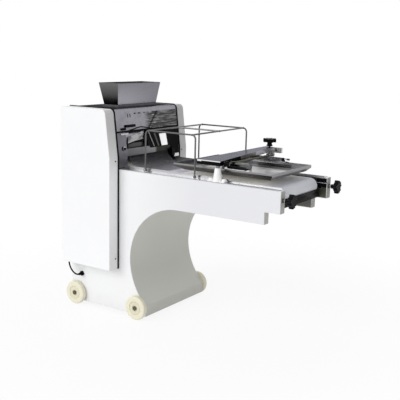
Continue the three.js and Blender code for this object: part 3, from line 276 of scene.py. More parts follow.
def start(name, roughness, **fixed):
    """A material's shader, Object coordinates and object normal; fixed values go on its sockets"""
    material = bpy.data.materials.new(name)
    material.use_nodes = True
    tree = material.node_tree
    shader = tree.nodes["Principled BSDF"]
    shader.inputs["Roughness"].default_value = roughness
    for socket, value in fixed.items():
        shader.inputs[socket.replace("_", " ")].default_value = value
    coordinates = tree.nodes.new("ShaderNodeTexCoord").outputs
    MATERIALS[name] = material
    return shader, Wire(tree, coordinates["Object"]), Wire(tree, coordinates["Normal"])


def wire_up(shader, **sockets):
    for socket, wire in sockets.items():
        wire.tree.links.new(wire.socket, shader.inputs[socket.replace("_", " ")])


def relief(height, distance):
    return height.node("ShaderNodeBump", {"Height": height, "Distance": distance})


def tone(level, tint=(1, 1, 1)):
    return (level * tint[0], level * tint[1], level * tint[2], 1)


# %% [markdown]
# Where a finish changes over a piece, a mask says how much of the other shade shows there. Masks could
# be chains of nodes drawn by hand. Small functions that make them by place, by facing or by noise can
# be multiplied instead, which keeps every finish short.

# %% Masks
def rises(axis, low, high):
    """0 up to the low place on an axis and 1 from the high one"""
    return lambda place, facing: place.along(axis).ramp(low, high)


def falls(axis, low, high):
    return lambda place, facing: 1 - place.along(axis).ramp(low, high)


def past(axis, limit):
    return lambda place, facing: place.along(axis).above(limit)


def short_of(axis, limit):
    return lambda place, facing: place.along(axis).below(limit)


def looks(axis, limit):
    """1 where the face's normal has more than the limit along an axis"""
    return lambda place, facing: facing.along(axis).above(limit)


def looks_back(axis, limit):
    return lambda place, facing: facing.along(axis).below(limit)


def patches(scale, low, high, detail=3, stretch=(1, 1, 1)):
    return lambda place, facing: place.noise(scale, detail=detail, stretch=stretch).ramp(low, high)


def where(*masks):
    """1 only where every mask is 1"""
    return lambda place, facing: math.prod(mask(place, facing) for mask in masks)


def either(*masks):
    return lambda place, facing: sum(mask(place, facing) for mask in masks)


def part_of(mask, share):
    return lambda place, facing: mask(place, facing) * share


# %% [markdown]
# The body is powder coated white. A plain white shader would clip into the background, so the coat
# sits a little under white, with the faint orange peel, grey scuffs and dust at the foot of real paint.

# %% White powder coat
PAINT_COOL = (0.985, 0.99, 1.0)
PAINT_WARM = (1.0, 0.998, 0.935)
PAINT_BLUE = (0.98, 0.985, 1.02)
PEEL_SCALE = 420
PEEL_DEPTH = 0.00016
DUST_TOP = 0.10


def white_paint(name, level, tint=PAINT_COOL, shades=()):
    shader, place, facing = start(name, 0.42, Specular_IOR_Level=0.4)
    cloud = place.noise(2.5, detail=4)
    scuff = place.noise(38, detail=6, stretch=(1, 1, 0.25)).ramp(0.66, 0.74)
    foot = 1 - place.along("Z").ramp(0.02, DUST_TOP)
    coat = colour_mix(cloud, tone(level * 0.965, tint), tone(level, tint))
    worn = colour_mix(scuff * 0.10, coat, tone(level * 0.6))
    base = colour_mix(foot * place.noise(24, detail=5) * 0.25, worn, tone(level * 0.45, (1, 0.96, 0.88)))
    for mask, shade in shades:
        base = colour_mix(mask(place, facing), base, shade)
    peel = place.noise(PEEL_SCALE, detail=2)
    wire_up(shader, Base_Color=base, Roughness=cloud * 0.12 + scuff * 0.15 + 0.36,
            Normal=relief(peel, PEEL_DEPTH))


faces_front = looks("X", 0.5)
arm_end_shade = where(faces_front, past("X", 0.5))
cover_end_shade = where(faces_front, either(part_of(falls("Z", 0.30, 0.52), 0.30), rises("Z", 0.80, 0.96)))

white_paint("white_paint", 0.92)
# The near cover's front face is painted darker at its top and at its foot: painted shade.
white_paint("cover_paint", 0.96, shades=[(cover_end_shade, tone(0.68))])
# The far cover's front face is a darker copy of the same white paint: painted shade.
white_paint("far_cover_paint", 0.93, shades=[
    (faces_front, tone(0.57)),
    (where(faces_front, short_of("Z", 0.92)), tone(0.60)),
])
# The near side panel is painted greyer towards the arm, and the end faces of both arms are painted dark:
# painted shade.
white_paint("panel_paint", 0.92, shades=[
    (rises("X", -0.20, 0.15), tone(0.80, PAINT_BLUE)),
    (arm_end_shade, tone(0.50, PAINT_WARM)),
])
white_paint("far_panel_paint", 0.92, shades=[(arm_end_shade, tone(0.36, PAINT_WARM))])
# The curved front sheet is a darker copy of the white paint, lighter where it looks up and darker high on its
# far side: painted shade and painted light.
white_paint("curve_paint", 0.64, PAINT_WARM, shades=[
    (lambda place, facing: facing.along("Z").ramp(0.30, 0.70), tone(0.68, PAINT_WARM)),
    (where(rises("Z", 0.50, 0.60), rises("Y", -0.1, 0.26)), tone(0.38, PAINT_WARM)),
    (where(falls("Y", -0.26, -0.05), rises("Z", 0.25, 0.5)), tone(0.66, PAINT_WARM)),
])
print("finishes:", len(MATERIALS))

# %% [markdown]
# The sheet work is stainless, and every sheet mirrors another part of the room: the jambs and the
# bridge look lilac grey, the top plate almost black. Blender's world here is white all round, so each
# sheet's own tone stands for what it mirrors. Shades on top are masks by place or by facing.

# %% Stainless, brushed and polished
GRAIN_SCALE = 520
GRAIN_DEPTH = 0.00003
CALM_SHARE = 0.65
STEEL_TINT = (0.975, 0.975, 1.0)
LILAC = (0.99, 0.975, 1.09)
BLUISH = (0.94, 0.97, 1.24)
OLIVE = (1.0, 1.0, 0.78)
BROWN = (1.0, 0.95, 0.92)
GRAIN_ALONG = {"X": (0.02, 1, 1), "Y": (1, 0.02, 1), "Z": (1, 1, 0.02)}


def stainless(name, level, roughness=0.30, grain="X", contrast=0.16, smudges=0.10, tint=STEEL_TINT,
              rim=1.0, shades=(), matt=None, gloss=0.5, calm=None):
    """Brushed steel; rim is how much it brightens seen along the sheet, calm where it is smoother"""
    shader, place, facing = start(name, roughness, Metallic=1.0, Specular_Tint=(rim, rim, rim, 1),
                                  Specular_IOR_Level=gloss)
    brushed = place.noise(GRAIN_SCALE, detail=4, stretch=GRAIN_ALONG[grain])
    broad = place.noise(5, detail=3)
    touched = place.noise(16, detail=5).ramp(0.52, 0.70)
    lines = colour_mix(brushed, tone(level * (1 - contrast), tint), tone(level * (1 + contrast), tint))
    clouds = colour_mix(broad * 0.35, lines, tone(level * 0.72, tint))
    base = colour_mix(touched * smudges, clouds, tone(level * 0.55))
    for mask, shade in shades:
        base = colour_mix(mask(place, facing), base, shade)
    if matt:
        wire_up(shader, Metallic=1 - matt(place, facing))
    rough = brushed * 0.14 + touched * 0.10 + (roughness - 0.08)
    if calm:
        rough = rough * (1 - calm(place, facing) * CALM_SHARE)
    wire_up(shader, Base_Color=base, Roughness=rough, Normal=relief(brushed, GRAIN_DEPTH))


stainless("brushed_steel", 0.52)
stainless("bright_steel", 0.62, roughness=0.18, contrast=0.08)
stainless("rod_steel", 0.16, roughness=0.28, contrast=0.12)
stainless("dark_mirror", 0.016, roughness=0.20, contrast=0.4, rim=0.25)
stainless("turned_steel", 0.30, roughness=0.34, grain="Y", contrast=0.22)
# The net is painted dark where it hangs under the head, as painted shade, and lighter towards its end, as
# light as the belt it lies on.
stainless("net_wire", 0.10, roughness=0.45, contrast=0.2, tint=LILAC, shades=[
    (rises("X", -0.33, -0.10), tone(0.30, LILAC)),
    (rises("X", -0.115, -0.085), tone(0.66, LILAC)),
])
# The net bar's far half is painted dark olive: painted shade under the shield.
stainless("bar_steel", 0.27, roughness=0.34, grain="Y", shades=[
    (rises("Y", 0.045, 0.065), tone(0.030, OLIVE)),
])
stainless("scraper_steel", 0.42, roughness=0.26, grain="Y", contrast=0.4, shades=[
    (patches(60, 0.52, 0.6, stretch=(1, 0.4, 1)), tone(0.16)),
])
stainless("hem_steel", 0.10, roughness=0.30, grain="Y", rim=0.3)
stainless("collar_steel", 0.13, roughness=0.40, grain="Y", contrast=0.3, tint=LILAC, rim=0.1)
# The nylon block is drawn as a white mirror of the white world, a painted reflection that keeps it white in
# shade.
stainless("white_mirror_nylon", 0.97, roughness=0.30, contrast=0.01, smudges=0.0, tint=(1, 1, 1))
stainless("jamb_steel", 0.215, roughness=0.30, grain="Z", tint=LILAC, rim=0.5)
stainless("dark_bolt", 0.13, roughness=0.42, contrast=0.3, tint=OLIVE, rim=0.5)
print("finishes:", len(MATERIALS))

# %% [markdown]
# Sheets that mirror more than one thing or lie in shade get their shades here, as painted reflections,
# painted shade and painted highlights: the hopper, the front panel with its dark, streaky far half, the
# tray with its white floor, the bridge with its black end, the guides and the arm plates. Each mask is a
# line of maths on the place or on the way that the face looks.

# %% Steel with shades
PANEL_BEND = 1.036
STROKE_SLOPE = 0.94
STROKE_FOOT = (0.003, 0.950)
STROKE_HALF = 0.014
FLOOR_LEVEL = 0.7925
BRIDGE_FRONT = 0.2842
BRIDGE_NEAR = -0.2518

near_wall = where(looks_back("Y", -0.5), looks_back("Z", 0.0))
far_half = where(rises("Y", -0.030, 0.015), short_of("Z", PANEL_BEND))
streaky_reflection = where(far_half, patches(150, 0.47, 0.62, detail=4, stretch=(1, 0.07, 1)))
glints = where(far_half, falls("Y", 0.05, 0.13), patches(95, 0.54, 0.66, stretch=(1, 0.18, 1)))
tray_floor = where(looks("Z", 0.9), short_of("Z", FLOOR_LEVEL))
tray_near = where(looks_back("Y", -0.3), looks_back("Z", 0.0))
tray_inner = where(looks("Z", 0.05), past("Z", FLOOR_LEVEL), short_of("Z", 0.8165), falls("X", 0.15, 0.25))
near_fold = short_of("Y", BRIDGE_NEAR)
near_edge_highlight = where(near_fold, either(past("Z", 0.8545), where(short_of("X", 0.180), past("Z", 0.851))))
near_lug = where(past("X", BRIDGE_FRONT + 0.005), short_of("Y", 0))


def guard_reflection(place, facing):
    """The dark slanting line on the front panel, a painted reflection of the guard"""
    slant = place.along("Y") - STROKE_FOOT[0] - (place.along("Z") - STROKE_FOOT[1]) * STROKE_SLOPE
    return slant.band(0, STROKE_HALF) * place.along("Z").below(PANEL_BEND)


def front_fold(low, high):
    return where(looks("X", 0.9), past("Y", low), short_of("Y", high))


# The hopper is painted lighter low down towards the near side, and its near wall dark, darkest at the foot,
# as painted reflections; the faces inside that look up are painted shade.
stainless("hopper_steel", 0.235, roughness=0.24, grain="Y", contrast=0.08, tint=LILAC, rim=0.6, shades=[
    (where(falls("Z", 1.074, 1.183), falls("Y", -0.16, 0.12)), tone(0.40, LILAC)),
    (near_wall, tone(0.17)),
    (where(near_wall, falls("Z", 1.072, 1.196)), tone(0.008)),
    (where(looks("Z", 0.04), past("Z", 1.074)), tone(0.035)),
])
# On the front panel the dark far half with its lighter streaks and glints, and the slanting line, are painted
# reflections, the line that of the guard; faces that look up are painted dark.
stainless("panel_steel", 0.315, roughness=0.26, grain="Y", contrast=0.10, smudges=0.3, tint=LILAC, rim=0.6,
          shades=[
    (patches(42, 0.55, 0.75, detail=4), tone(0.22, LILAC)),
    (far_half, tone(0.055)),
    (streaky_reflection, tone(0.20)),
    (glints, tone(0.42)),
    (guard_reflection, tone(0.012)),
    (looks("Z", 0.93), tone(0.03)),
])
# The top plate's lighter strip along its front is a painted reflection.
stainless("top_steel", 0.075, roughness=0.40, grain="Y", tint=LILAC, rim=0.0, gloss=0.0,
          matt=part_of(looks("Z", 0.5), 0.9), shades=[
    (patches(14, 0.50, 0.56, stretch=(1, 0.4, 1)), tone(0.02)),
    (past("X", -0.405), tone(0.045, LILAC)),
])
# On the tray the near wall is a painted reflection, brown and darker towards its end; the white floor has a
# painted shadow under the bridge and painted shade along its far side; the low inner faces at the rear are
# painted shade, and the underside is painted near white, as painted light that the belt below picks up.
stainless("tray_steel", 0.28, roughness=0.30, contrast=0.10, calm=tray_floor, matt=part_of(tray_floor, 0.7),
          shades=[
    (tray_near, tone(0.095, BROWN)),
    (where(tray_near, rises("X", 0.38, 0.50)), tone(0.020, OLIVE)),
    (tray_floor, (0.97, 0.97, 0.985, 1)),
    (where(tray_floor, falls("X", 0.15, 0.25)), tone(0.12)),
    (where(tray_floor, rises("Y", 0.115, 0.135)), tone(0.42)),
    (tray_inner, tone(0.035, BLUISH)),
    (looks_back("Z", -0.95), tone(0.80)),
])
# On the bridge the front fold is painted in bands of black, brown and lilac, as painted reflections, and the
# end block past it is painted light; the near lug, the underside and the near fold are painted shade, with a
# painted highlight along the near fold's top edge.
stainless("bridge_steel", 0.245, roughness=0.26, grain="Y", contrast=0.06, tint=BLUISH, rim=0.52, shades=[
    (front_fold(-0.3, -0.07), tone(0.010)),
    (front_fold(-0.07, 0.075), tone(0.20, BROWN)),
    (front_fold(0.075, 0.3), tone(0.36, LILAC)),
    (past("X", BRIDGE_FRONT + 0.0003), tone(0.60)),
    (near_lug, tone(0.02)),
    (looks_back("Z", -0.9), tone(0.10)),
    (near_fold, tone(0.008)),
    (near_edge_highlight, tone(0.80)),
])
# The near guide is painted much darker than the far one, as painted shade, with painted light along its top
# edges.
stainless("near_guide_steel", 0.035, roughness=0.30, rim=0.1, shades=[(past("Z", 0.8525), tone(0.45))])
# The far guide's ends are painted black, as painted shade, and bands along its top and bottom are painted
# light.
stainless("far_guide_steel", 0.15, roughness=0.26, tint=LILAC, rim=0.12, shades=[
    (past("X", 0.392), tone(0.012)),
    (short_of("X", 0.275), tone(0.012)),
    (either(past("Z", 0.8505), short_of("Z", 0.828)), tone(0.30)),
])
# The inner faces of the arm plates are painted dark olive and brown: painted shade.
stainless("arm_steel", 0.13, roughness=0.42, tint=OLIVE, rim=0.4, shades=[
    (where(short_of("Z", 0.658), rises("X", 0.44, 0.53)), tone(0.15, BROWN)),
    (rises("X", 0.56, 0.60), tone(0.11, OLIVE)),
])
stainless("roller_steel", 0.42, roughness=0.42, grain="Z", contrast=0.14, smudges=0.4, tint=LILAC, rim=0.6)
# The nose apron's dark tone is painted shade.
stainless("nose_shade_steel", 0.060, roughness=0.34, grain="Y", contrast=0.35, rim=0.2, shades=[
    (patches(60, 0.50, 0.62, detail=4, stretch=(1, 0.05, 1)), tone(0.11)),
])
print("finishes:", len(MATERIALS))

# %% [markdown]
# Knobs and gland are moulded plastic, the seals and the lead rubber, the wheels and posts nylon, the
# motor hammered paint. They could share one shader, and they do: only colour, gloss and mottle change.
# The knobs look deep black, so their gloss is kept low.

# %% Plastic, rubber, nylon and motor paint
BLOOM = (0.62, 0.60, 0.57, 1)


def moulded(name, colour, roughness, mottle=0.08, bloom=0.08, depth=0.00005, gloss=0.5):
    """A moulded surface: faint mottle, a dull bloom where hands and flour touch, fine texture"""
    shader, place, facing = start(name, roughness, Specular_IOR_Level=gloss)
    cloud = place.noise(30, detail=4)
    handled = place.noise(75, detail=5).ramp(0.5, 0.75)
    deep = tuple(value * (1 - mottle) for value in colour) + (1,)
    light = tuple(value * (1 + mottle) for value in colour) + (1,)
    base = colour_mix(handled * bloom, colour_mix(cloud, deep, light), BLOOM)
    wire_up(shader, Base_Color=base, Roughness=handled * 0.18 + (roughness - 0.05),
            Normal=relief(place.noise(900, detail=3), depth))


moulded("black_plastic", (0.0030, 0.0030, 0.0045), 0.34, bloom=0.002, gloss=0.045)
moulded("black_rubber", (0.004, 0.004, 0.004), 0.60, bloom=0.004, gloss=0.08)
moulded("cream_nylon", (0.82, 0.785, 0.62), 0.42, mottle=0.05, bloom=0.10)
moulded("hub_nylon", (0.74, 0.705, 0.53), 0.46, mottle=0.08, bloom=0.10)
moulded("white_nylon", (0.95, 0.95, 0.95), 0.36, mottle=0.02, bloom=0.02, gloss=0.7)
moulded("motor_paint", (0.105, 0.16, 0.20), 0.40, mottle=0.10, bloom=0.10)
print("finishes:", len(MATERIALS))

# %% [markdown]
# The belt is a white woven cloth, dusted with flour. Below the nose it is painted dark, as painted shade,
# and where it runs under the tray it is painted lighter, as painted light. A woven image would need a file,
# so two crossed waves make the weave and noise lays the flour. The polished tray throws light down on the
# belt beside it, which plain light can't do, so a faint glow stands in.

# %% Belt cloth
WEAVE_SCALE = 230.0
WEAVE_DEPTH = 0.00008
NOSE_LEVEL = 0.700
CLOTH_DULL = (0.60, 0.62, 0.68, 1)
CLOTH_CLEAN = (0.76, 0.77, 0.82, 1)
CLOTH_PAINTED_LIGHT = (0.88, 0.87, 0.84, 1)
CLOTH_PAINTED_SHADE = (0.09, 0.095, 0.10, 1)
BOUNCE = (0.14, 0.136, 0.122, 1)
NO_LIGHT = (0, 0, 0, 1)


def belt_cloth():
    shader, place, facing = start("belt_cloth", 0.55)
    waves = [place.node("ShaderNodeTexWave", {"Vector": place, "Scale": WEAVE_SCALE, "Distortion": 0.4},
                        output="Fac", bands_direction=axis) for axis in "XY"]
    flour = place.noise(11, detail=6)
    # Below the nose the cloth is painted dark: painted shade.
    under = place.along("Z").below(NOSE_LEVEL)
    # Under the tray the cloth is painted lighter: painted light.
    covered = (1 - place.along("X").ramp(0.44, 0.52)) * 0.9
    cloth = colour_mix(covered, colour_mix(flour, CLOTH_DULL, CLOTH_CLEAN), CLOTH_PAINTED_LIGHT)
    weave = relief(waves[0] * waves[1], WEAVE_DEPTH)
    bounce = covered * facing.along("Z").above(0.9) * (1 - place.along("Y").ramp(-0.10, 0.02))
    wire_up(shader, Emission_Color=colour_mix(bounce, NO_LIGHT, BOUNCE))
    shader.inputs["Emission Strength"].default_value = 1.0
    wire_up(shader, Base_Color=colour_mix(under, cloth, CLOTH_PAINTED_SHADE), Roughness=flour * 0.15 + 0.48,
            Normal=weave)


belt_cloth()
FINISH_OF_SLOT = {name: name for name in MATERIALS}
FINISH_OF_SLOT.update(stainless="brushed_steel", polished="roller_steel", dark_sheet="dark_mirror",
                      steel="turned_steel")
# The far jamb gets the near-black finish, as painted shade, where the near jamb is lilac grey.
FINISH_OF_NODE = {
    "hopper": "hopper_steel", "head_front_panel": "panel_steel", "head_top_plate": "top_steel",
    "near_head_plate": "jamb_steel", "far_head_plate": "dark_mirror", "net_bar": "bar_steel",
    "bridge_plate": "bridge_steel", "pressure_board": "tray_steel", "near_side_guide": "near_guide_steel",
    "far_side_guide": "far_guide_steel", "near_arm_plate": "arm_steel", "far_arm_plate": "arm_steel",
    "curved_front_sheet": "curve_paint", "near_side_cover": "cover_paint",
    "far_side_cover": "far_cover_paint", "near_side_panel": "panel_paint",
    "far_side_panel": "far_panel_paint", "hopper_collar": "collar_steel", "nylon_block": "white_mirror_nylon",
    "front_axle": "dark_bolt", "rear_axle": "dark_bolt",
}
print("finishes:", len(MATERIALS))

# %% [markdown]
# Most sheet pieces have their true shape in the frame already, but a CAD edge is a knife edge, and a
# real folded or sawn edge has a small round that catches light. The edge could be drawn with a bevel
# shader, which no exported mesh keeps, so a merged copy of the piece gets a real bevel instead.

# %% Finishing a piece
MERGE = 0.00002
FLAT_ANGLE = math.radians(0.4)
BEVEL_ANGLE = math.radians(38)
SMOOTH_ANGLE = math.radians(35)


def applied(piece, kind, **settings):
    """Adds one modifier and applies it"""
    alone(piece)
    step = piece.modifiers.new("step", kind)
    for name, value in settings.items():
        setattr(step, name, value)
    bpy.ops.object.modifier_apply(modifier=step.name)
    return piece


def bevelled(piece, edge, segments=2, angle=BEVEL_ANGLE):
    """Rounds the sharp edges and shades the piece smooth with flat faces kept flat"""
    if edge:
        applied(piece, "BEVEL", width=edge * MM, segments=segments, limit_method="ANGLE", angle_limit=angle)
    alone(piece)
    bpy.ops.object.shade_smooth_by_angle(angle=SMOOTH_ANGLE)
    return applied(piece, "WEIGHTED_NORMAL", keep_sharp=True)


def dress(piece, name, body, slot, finish=None, replaced=()):
    """Names a finished piece, gives it its finish and hangs it on its body"""
    piece.name = name
    piece.data.name = name
    piece.data.materials.clear()
    piece.data.materials.append(MATERIALS[finish or FINISH_OF_SLOT[slot]])
    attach(piece, body)
    if replaced:
        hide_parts(*replaced)
    return piece


def stand_in(piece, node, finish=None):
    """Dresses a new piece that stands for a CAD node"""
    slot = slot_of[node]
    finish = finish or FINISH_OF_NODE.get(node, FINISH_OF_SLOT[slot])
    return dress(piece, node + "_made", body_of[node], slot, finish, [node])


def softened(node, edge, segments=2):
    piece = nodes[node].copy()
    piece.data = nodes[node].data.copy()
    scene.collection.objects.link(piece)
    for key in list(piece.keys()):
        del piece[key]
    piece.parent = None
    alone(piece)
    bpy.ops.object.mode_set(mode="EDIT")
    bpy.ops.mesh.select_all(action="SELECT")
    bpy.ops.mesh.remove_doubles(threshold=MERGE)
    bpy.ops.mesh.dissolve_limited(angle_limit=FLAT_ANGLE)
    bpy.ops.object.mode_set(mode="OBJECT")
    return stand_in(bevelled(piece, edge, segments), node)


# %% Softened copies of the sheet pieces
EDGES = {
    "near_side_panel": 0.8, "far_side_panel": 0.8, "base_plate": 0.8, "rear_panel": 0.5,
    "near_arm_plate": 0.6, "far_arm_plate": 0.6, "near_head_plate": 0.5, "far_head_plate": 0.5,
    "head_front_panel": 0.4, "head_top_plate": 0.8, "roller_shield": 0.5, "nylon_block": 0.9,
    "hopper_collar": 0.8, "hopper": 0.5, "belt_bed": 0.4, "near_belt_rail": 0.5, "far_belt_rail": 0.5,
    "net_bar": 0.6, "near_take_up_block": 1.2, "far_take_up_block": 1.2, "bridge_plate": 0.6,
    "pressure_board": 0.4, "near_side_guide": 0.4, "far_side_guide": 0.4, "gearbox": 3.0,
    "motor": 1.0, "motor_sprocket": 0.6, "drive_roller": 0.6, "end_roller": 0.6, "upper_rear_roller": 0.8,
    "upper_front_roller": 0.8, "lower_rear_roller": 0.8, "lower_front_roller": 0.8, "upper_rear_gear": 0.5,
    "upper_front_gear": 0.5, "lower_rear_gear": 0.5, "lower_front_gear": 0.5, "drive_chain": 0.8,
    "near_bridge_post": 1.0, "far_bridge_post": 1.0, "front_axle": 0.8, "rear_axle": 0.8,
    "belt": 0.0, "curved_front_sheet": 0.5,
}
for node, edge in EDGES.items():
    softened(node, edge)
print("softened:", len(EDGES), "pieces")

# %% [markdown]
# New pieces are shaped as by hand. A lathe part could be spun from an outline, but a disc that is
# extruded and resized step by step keeps its ends closed. Blocks start as a cube between two corners,
# rods as a line with rounded corners that is given its thickness and made a mesh.

# %% Tools for new pieces
FULL_TURN = 2 * math.pi
QUARTER = math.pi / 2
FACE_UP = (0, 0, 0)
FACE_FRONT = (0, QUARTER, 0)
FACE_REAR = (0, -QUARTER, 0)
FACE_NEAR = (QUARTER, 0, 0)
FACE_FAR = (-QUARTER, 0, 0)


def edit(piece):
    alone(piece)
    bpy.ops.object.mode_set(mode="EDIT")


def pick(piece, test, kind="faces"):
    """Selects the faces, edges or vertices that pass a test, in edit mode"""
    bpy.ops.mesh.select_all(action="DESELECT")
    shape = bmesh.from_edit_mesh(piece.data)
    for element in getattr(shape, kind):
        if test(element):
            element.select_set(True)
    bmesh.update_edit_mesh(piece.data)


def outward(piece):
    edit(piece)
    bpy.ops.mesh.select_all(action="SELECT")
    bpy.ops.mesh.remove_doubles(threshold=MERGE)
    bpy.ops.mesh.normals_make_consistent(inside=False)
    bpy.ops.object.mode_set(mode="OBJECT")
    return piece


def stand(piece, place=Vector((0, 0, 0)), turn=(0, 0, 0)):
    """Puts a piece in its place and applies the move, so that its object stays at the origin"""
    piece.location = place
    piece.rotation_euler = turn
    alone(piece)
    bpy.ops.object.transform_apply(location=True, rotation=True, scale=True)
    return piece


def twin(piece):
    """A copy with its own mesh"""
    made = piece.copy()
    made.data = piece.data.copy()
    scene.collection.objects.link(made)
    return made


def mirrored(piece):
    """The same piece on the other side of the machine"""
    made = twin(piece)
    made.scale = (1, -1, 1)
    return outward(stand(made))


def joined(first, *others):
    alone(first)
    for other in others:
        other.select_set(True)
    bpy.ops.object.join()
    return first


def turned(profile, sides=48):
    """A disc extruded and resized step by step along Z; the profile is (radius, height) in mm"""
    deselect()
    radius, height = profile[0]
    bpy.ops.mesh.primitive_circle_add(vertices=sides, radius=radius * MM, fill_type="NGON",
                                      location=(0, 0, height * MM))
    piece = bpy.context.object
    bpy.ops.object.mode_set(mode="EDIT")
    bpy.ops.mesh.select_all(action="SELECT")
    for wider, higher in profile[1:]:
        bpy.ops.mesh.extrude_region_move(TRANSFORM_OT_translate={"value": (0, 0, (higher - height) * MM)})
        share = wider / radius
        bpy.ops.transform.resize(value=(share, share, 1), center_override=(0, 0, higher * MM))
        radius, height = wider, higher
    bpy.ops.object.mode_set(mode="OBJECT")
    stand(piece, place=piece.location.copy())
    return outward(piece)


def block(low, high):
    """A cube stretched between two corners, ready to be cut and bevelled"""
    deselect()
    bpy.ops.mesh.primitive_cube_add(size=1, location=(low + high) / 2, scale=high - low)
    bpy.ops.object.transform_apply(location=True, rotation=True, scale=True)
    return bpy.context.object


def bent(corners, bend, steps=6):
    """The route through the corners with each inner corner rounded"""
    route = [corners[0]]
    for before, corner, after in zip(corners, corners[1:], corners[2:]):
        back = (before - corner).normalized()
        ahead = (after - corner).normalized()
        half = back.angle(ahead) / 2
        reach = bend / math.tan(half)
        centre = corner + (back + ahead).normalized() * bend / math.sin(half)
        first = corner + back * reach - centre
        last = corner + ahead * reach - centre
        for step in range(steps + 1):
            route.append(centre + first.slerp(last, step / steps).normalized() * bend)
    return [*route, corners[-1]]


def rod(route, radius, closed=False, roundness=3):
    """A round rod along a route in metres, as a mesh"""
    deselect()
    bpy.ops.object.add(type="CURVE")
    piece = bpy.context.object
    piece.data.dimensions = "3D"
    piece.data.bevel_depth = radius
    piece.data.bevel_resolution = roundness
    piece.data.use_fill_caps = True
    line = piece.data.splines.new("POLY")
    line.points.add(len(route) - 1)
    for point, place in zip(line.points, route):
        point.co = (*place, 1)
    line.use_cyclic_u = closed
    alone(piece)
    bpy.ops.object.convert(target="MESH")
    return bpy.context.object


print("tools ready")

# %% [markdown]
# The two side covers are deep folded boxes over the gears and the chain. The CAD corner has a few
# flats, so the cover is made anew: a block cut to the leaning front, its top corner and outer folds
# rounded, the inner side opened and the rest given the thickness of the sheet.

# %% Side covers
COVER_OUTER = 330
COVER_RIM = 265.3
COVER_REAR = -330
COVER_BOTTOM = 244
COVER_TOP = 1060
COVER_BEND = 822
COVER_LEAN = 29.4
COVER_CORNER = 22
COVER_FOLD = 3.2
COVER_SHEET = 2.0
COVER_EDGE = 0.35
COVER_ANGLE = math.radians(60)
ON_PLANE = 0.00005


def edge_near(edge, test):
    return all(test(vertex.co) for vertex in edge.verts)


def side_cover():
    cover = block(at(COVER_REAR, -COVER_OUTER, COVER_BOTTOM), at(0, -COVER_RIM, COVER_TOP))
    edit(cover)
    bpy.ops.mesh.select_all(action="SELECT")
    lean = Vector((COVER_TOP - COVER_BEND, 0, COVER_LEAN)).normalized()
    bpy.ops.mesh.bisect(plane_co=at(0, 0, COVER_BEND), plane_no=lean, use_fill=True, clear_outer=True)
    corner = at(-COVER_LEAN, 0, COVER_TOP)
    pick(cover, lambda edge: edge_near(edge, lambda co: abs(co.x - corner.x) < ON_PLANE
                                       and abs(co.z - corner.z) < ON_PLANE), "edges")
    bpy.ops.mesh.bevel(offset=COVER_CORNER * MM, segments=10, affect="EDGES")
    outer = -COVER_OUTER * MM
    pick(cover, lambda edge: edge_near(edge, lambda co: abs(co.y - outer) < ON_PLANE), "edges")
    bpy.ops.mesh.bevel(offset=COVER_FOLD * MM, segments=4, affect="EDGES")
    pick(cover, lambda face: face.normal.y > 0.99)
    bpy.ops.mesh.delete(type="FACE")
    bpy.ops.object.mode_set(mode="OBJECT")
    applied(cover, "SOLIDIFY", thickness=COVER_SHEET * MM, offset=-1)
    return bevelled(cover, COVER_EDGE, angle=COVER_ANGLE)


near_cover = side_cover()
far_cover = mirrored(near_cover)
stand_in(near_cover, "near_side_cover")
stand_in(far_cover, "far_side_cover")
print("covers:", len(near_cover.data.vertices), "points each")

# %% [markdown]
# A black rubber seal closes the gap between each cover and the body, and shows as a black line down
# the front. It could be a flat strip, but a bead that stands a little proud throws its own shadow.

# %% Cover seals
SEAL_MIDDLE = 262.7
SEAL_RADIUS = 5.4
SEAL_PROUD = -0.4
SEAL_TOP = COVER_TOP - 1
SEAL_REAR = COVER_REAR + 6


def cover_seal():
    y = -SEAL_MIDDLE
    corners = [at(SEAL_PROUD, y, COVER_BOTTOM), at(SEAL_PROUD, y, COVER_BEND),
               at(SEAL_PROUD - COVER_LEAN, y, SEAL_TOP), at(SEAL_REAR, y, SEAL_TOP)]
    line = bent(corners[1:], COVER_CORNER * MM, steps=8)
    return bevelled(rod([corners[0], *line], SEAL_RADIUS * MM), 0)


near_seal = cover_seal()
far_seal = mirrored(near_seal)
stand_in(near_seal, "near_cover_seal")
stand_in(far_seal, "far_cover_seal")
print("seals:", len(near_seal.data.vertices), "points each")

# %% [markdown]
# The wheels are turned nylon with a rounded tread, a raised rim and a sunk hub in a darker, yellower tone. An
# outline could be spun, but the stepped disc keeps its ends closed. Wheel and hub are made once, lying
# on the floor's axis, and copied to the four corners.

# %% Wheels
WHEEL_RADIUS = 62.5
WHEEL_INNER = 262
WHEEL_STATIONS = {"front": 130, "rear": -284}
TREAD = [(30, 0), (57, 0), (60.6, 1.2), (62.1, 3.4), (62.5, 6.5), (62.5, 17), (62.1, 20.4), (60.6, 23.4),
         (58, 25.2), (54, 26), (38, 26), (35.6, 25.2), (34.4, 23.4), (34, 22)]
HUB = [(33.6, 20), (33.6, 23.6), (32.8, 24.6), (20, 24.6), (18.8, 24.2), (17.6, 24.2), (16.6, 25.0),
       (15.0, 25.0), (14.2, 24.2), (13.8, 22.4)]

wheel = bevelled(turned(TREAD, sides=72), 0)
hub = bevelled(turned(HUB, sides=48), 0)
for side, side_name in ((NEAR, "near"), (FAR, "far")):
    for station, x in WHEEL_STATIONS.items():
        node = f"{side_name}_{station}_wheel"
        place = at(x, side * WHEEL_INNER, WHEEL_RADIUS)
        turn = (-side * QUARTER, 0, 0)
        stand_in(stand(twin(wheel), place, turn), node)
        dress(stand(twin(hub), place, turn), node + "_hub", body_of[node], "cream_nylon", "hub_nylon")
for model in (wheel, hub):
    bpy.data.objects.remove(model)
print("wheels: 4, with", len(TREAD), "steps in the tread")

# %% [markdown]
# The black grips are star knobs with seven round lobes. A disc with twice as many sides has every
# second side drawn out, and subdivision rounds the lobes. The inset rings keep the faces flat.

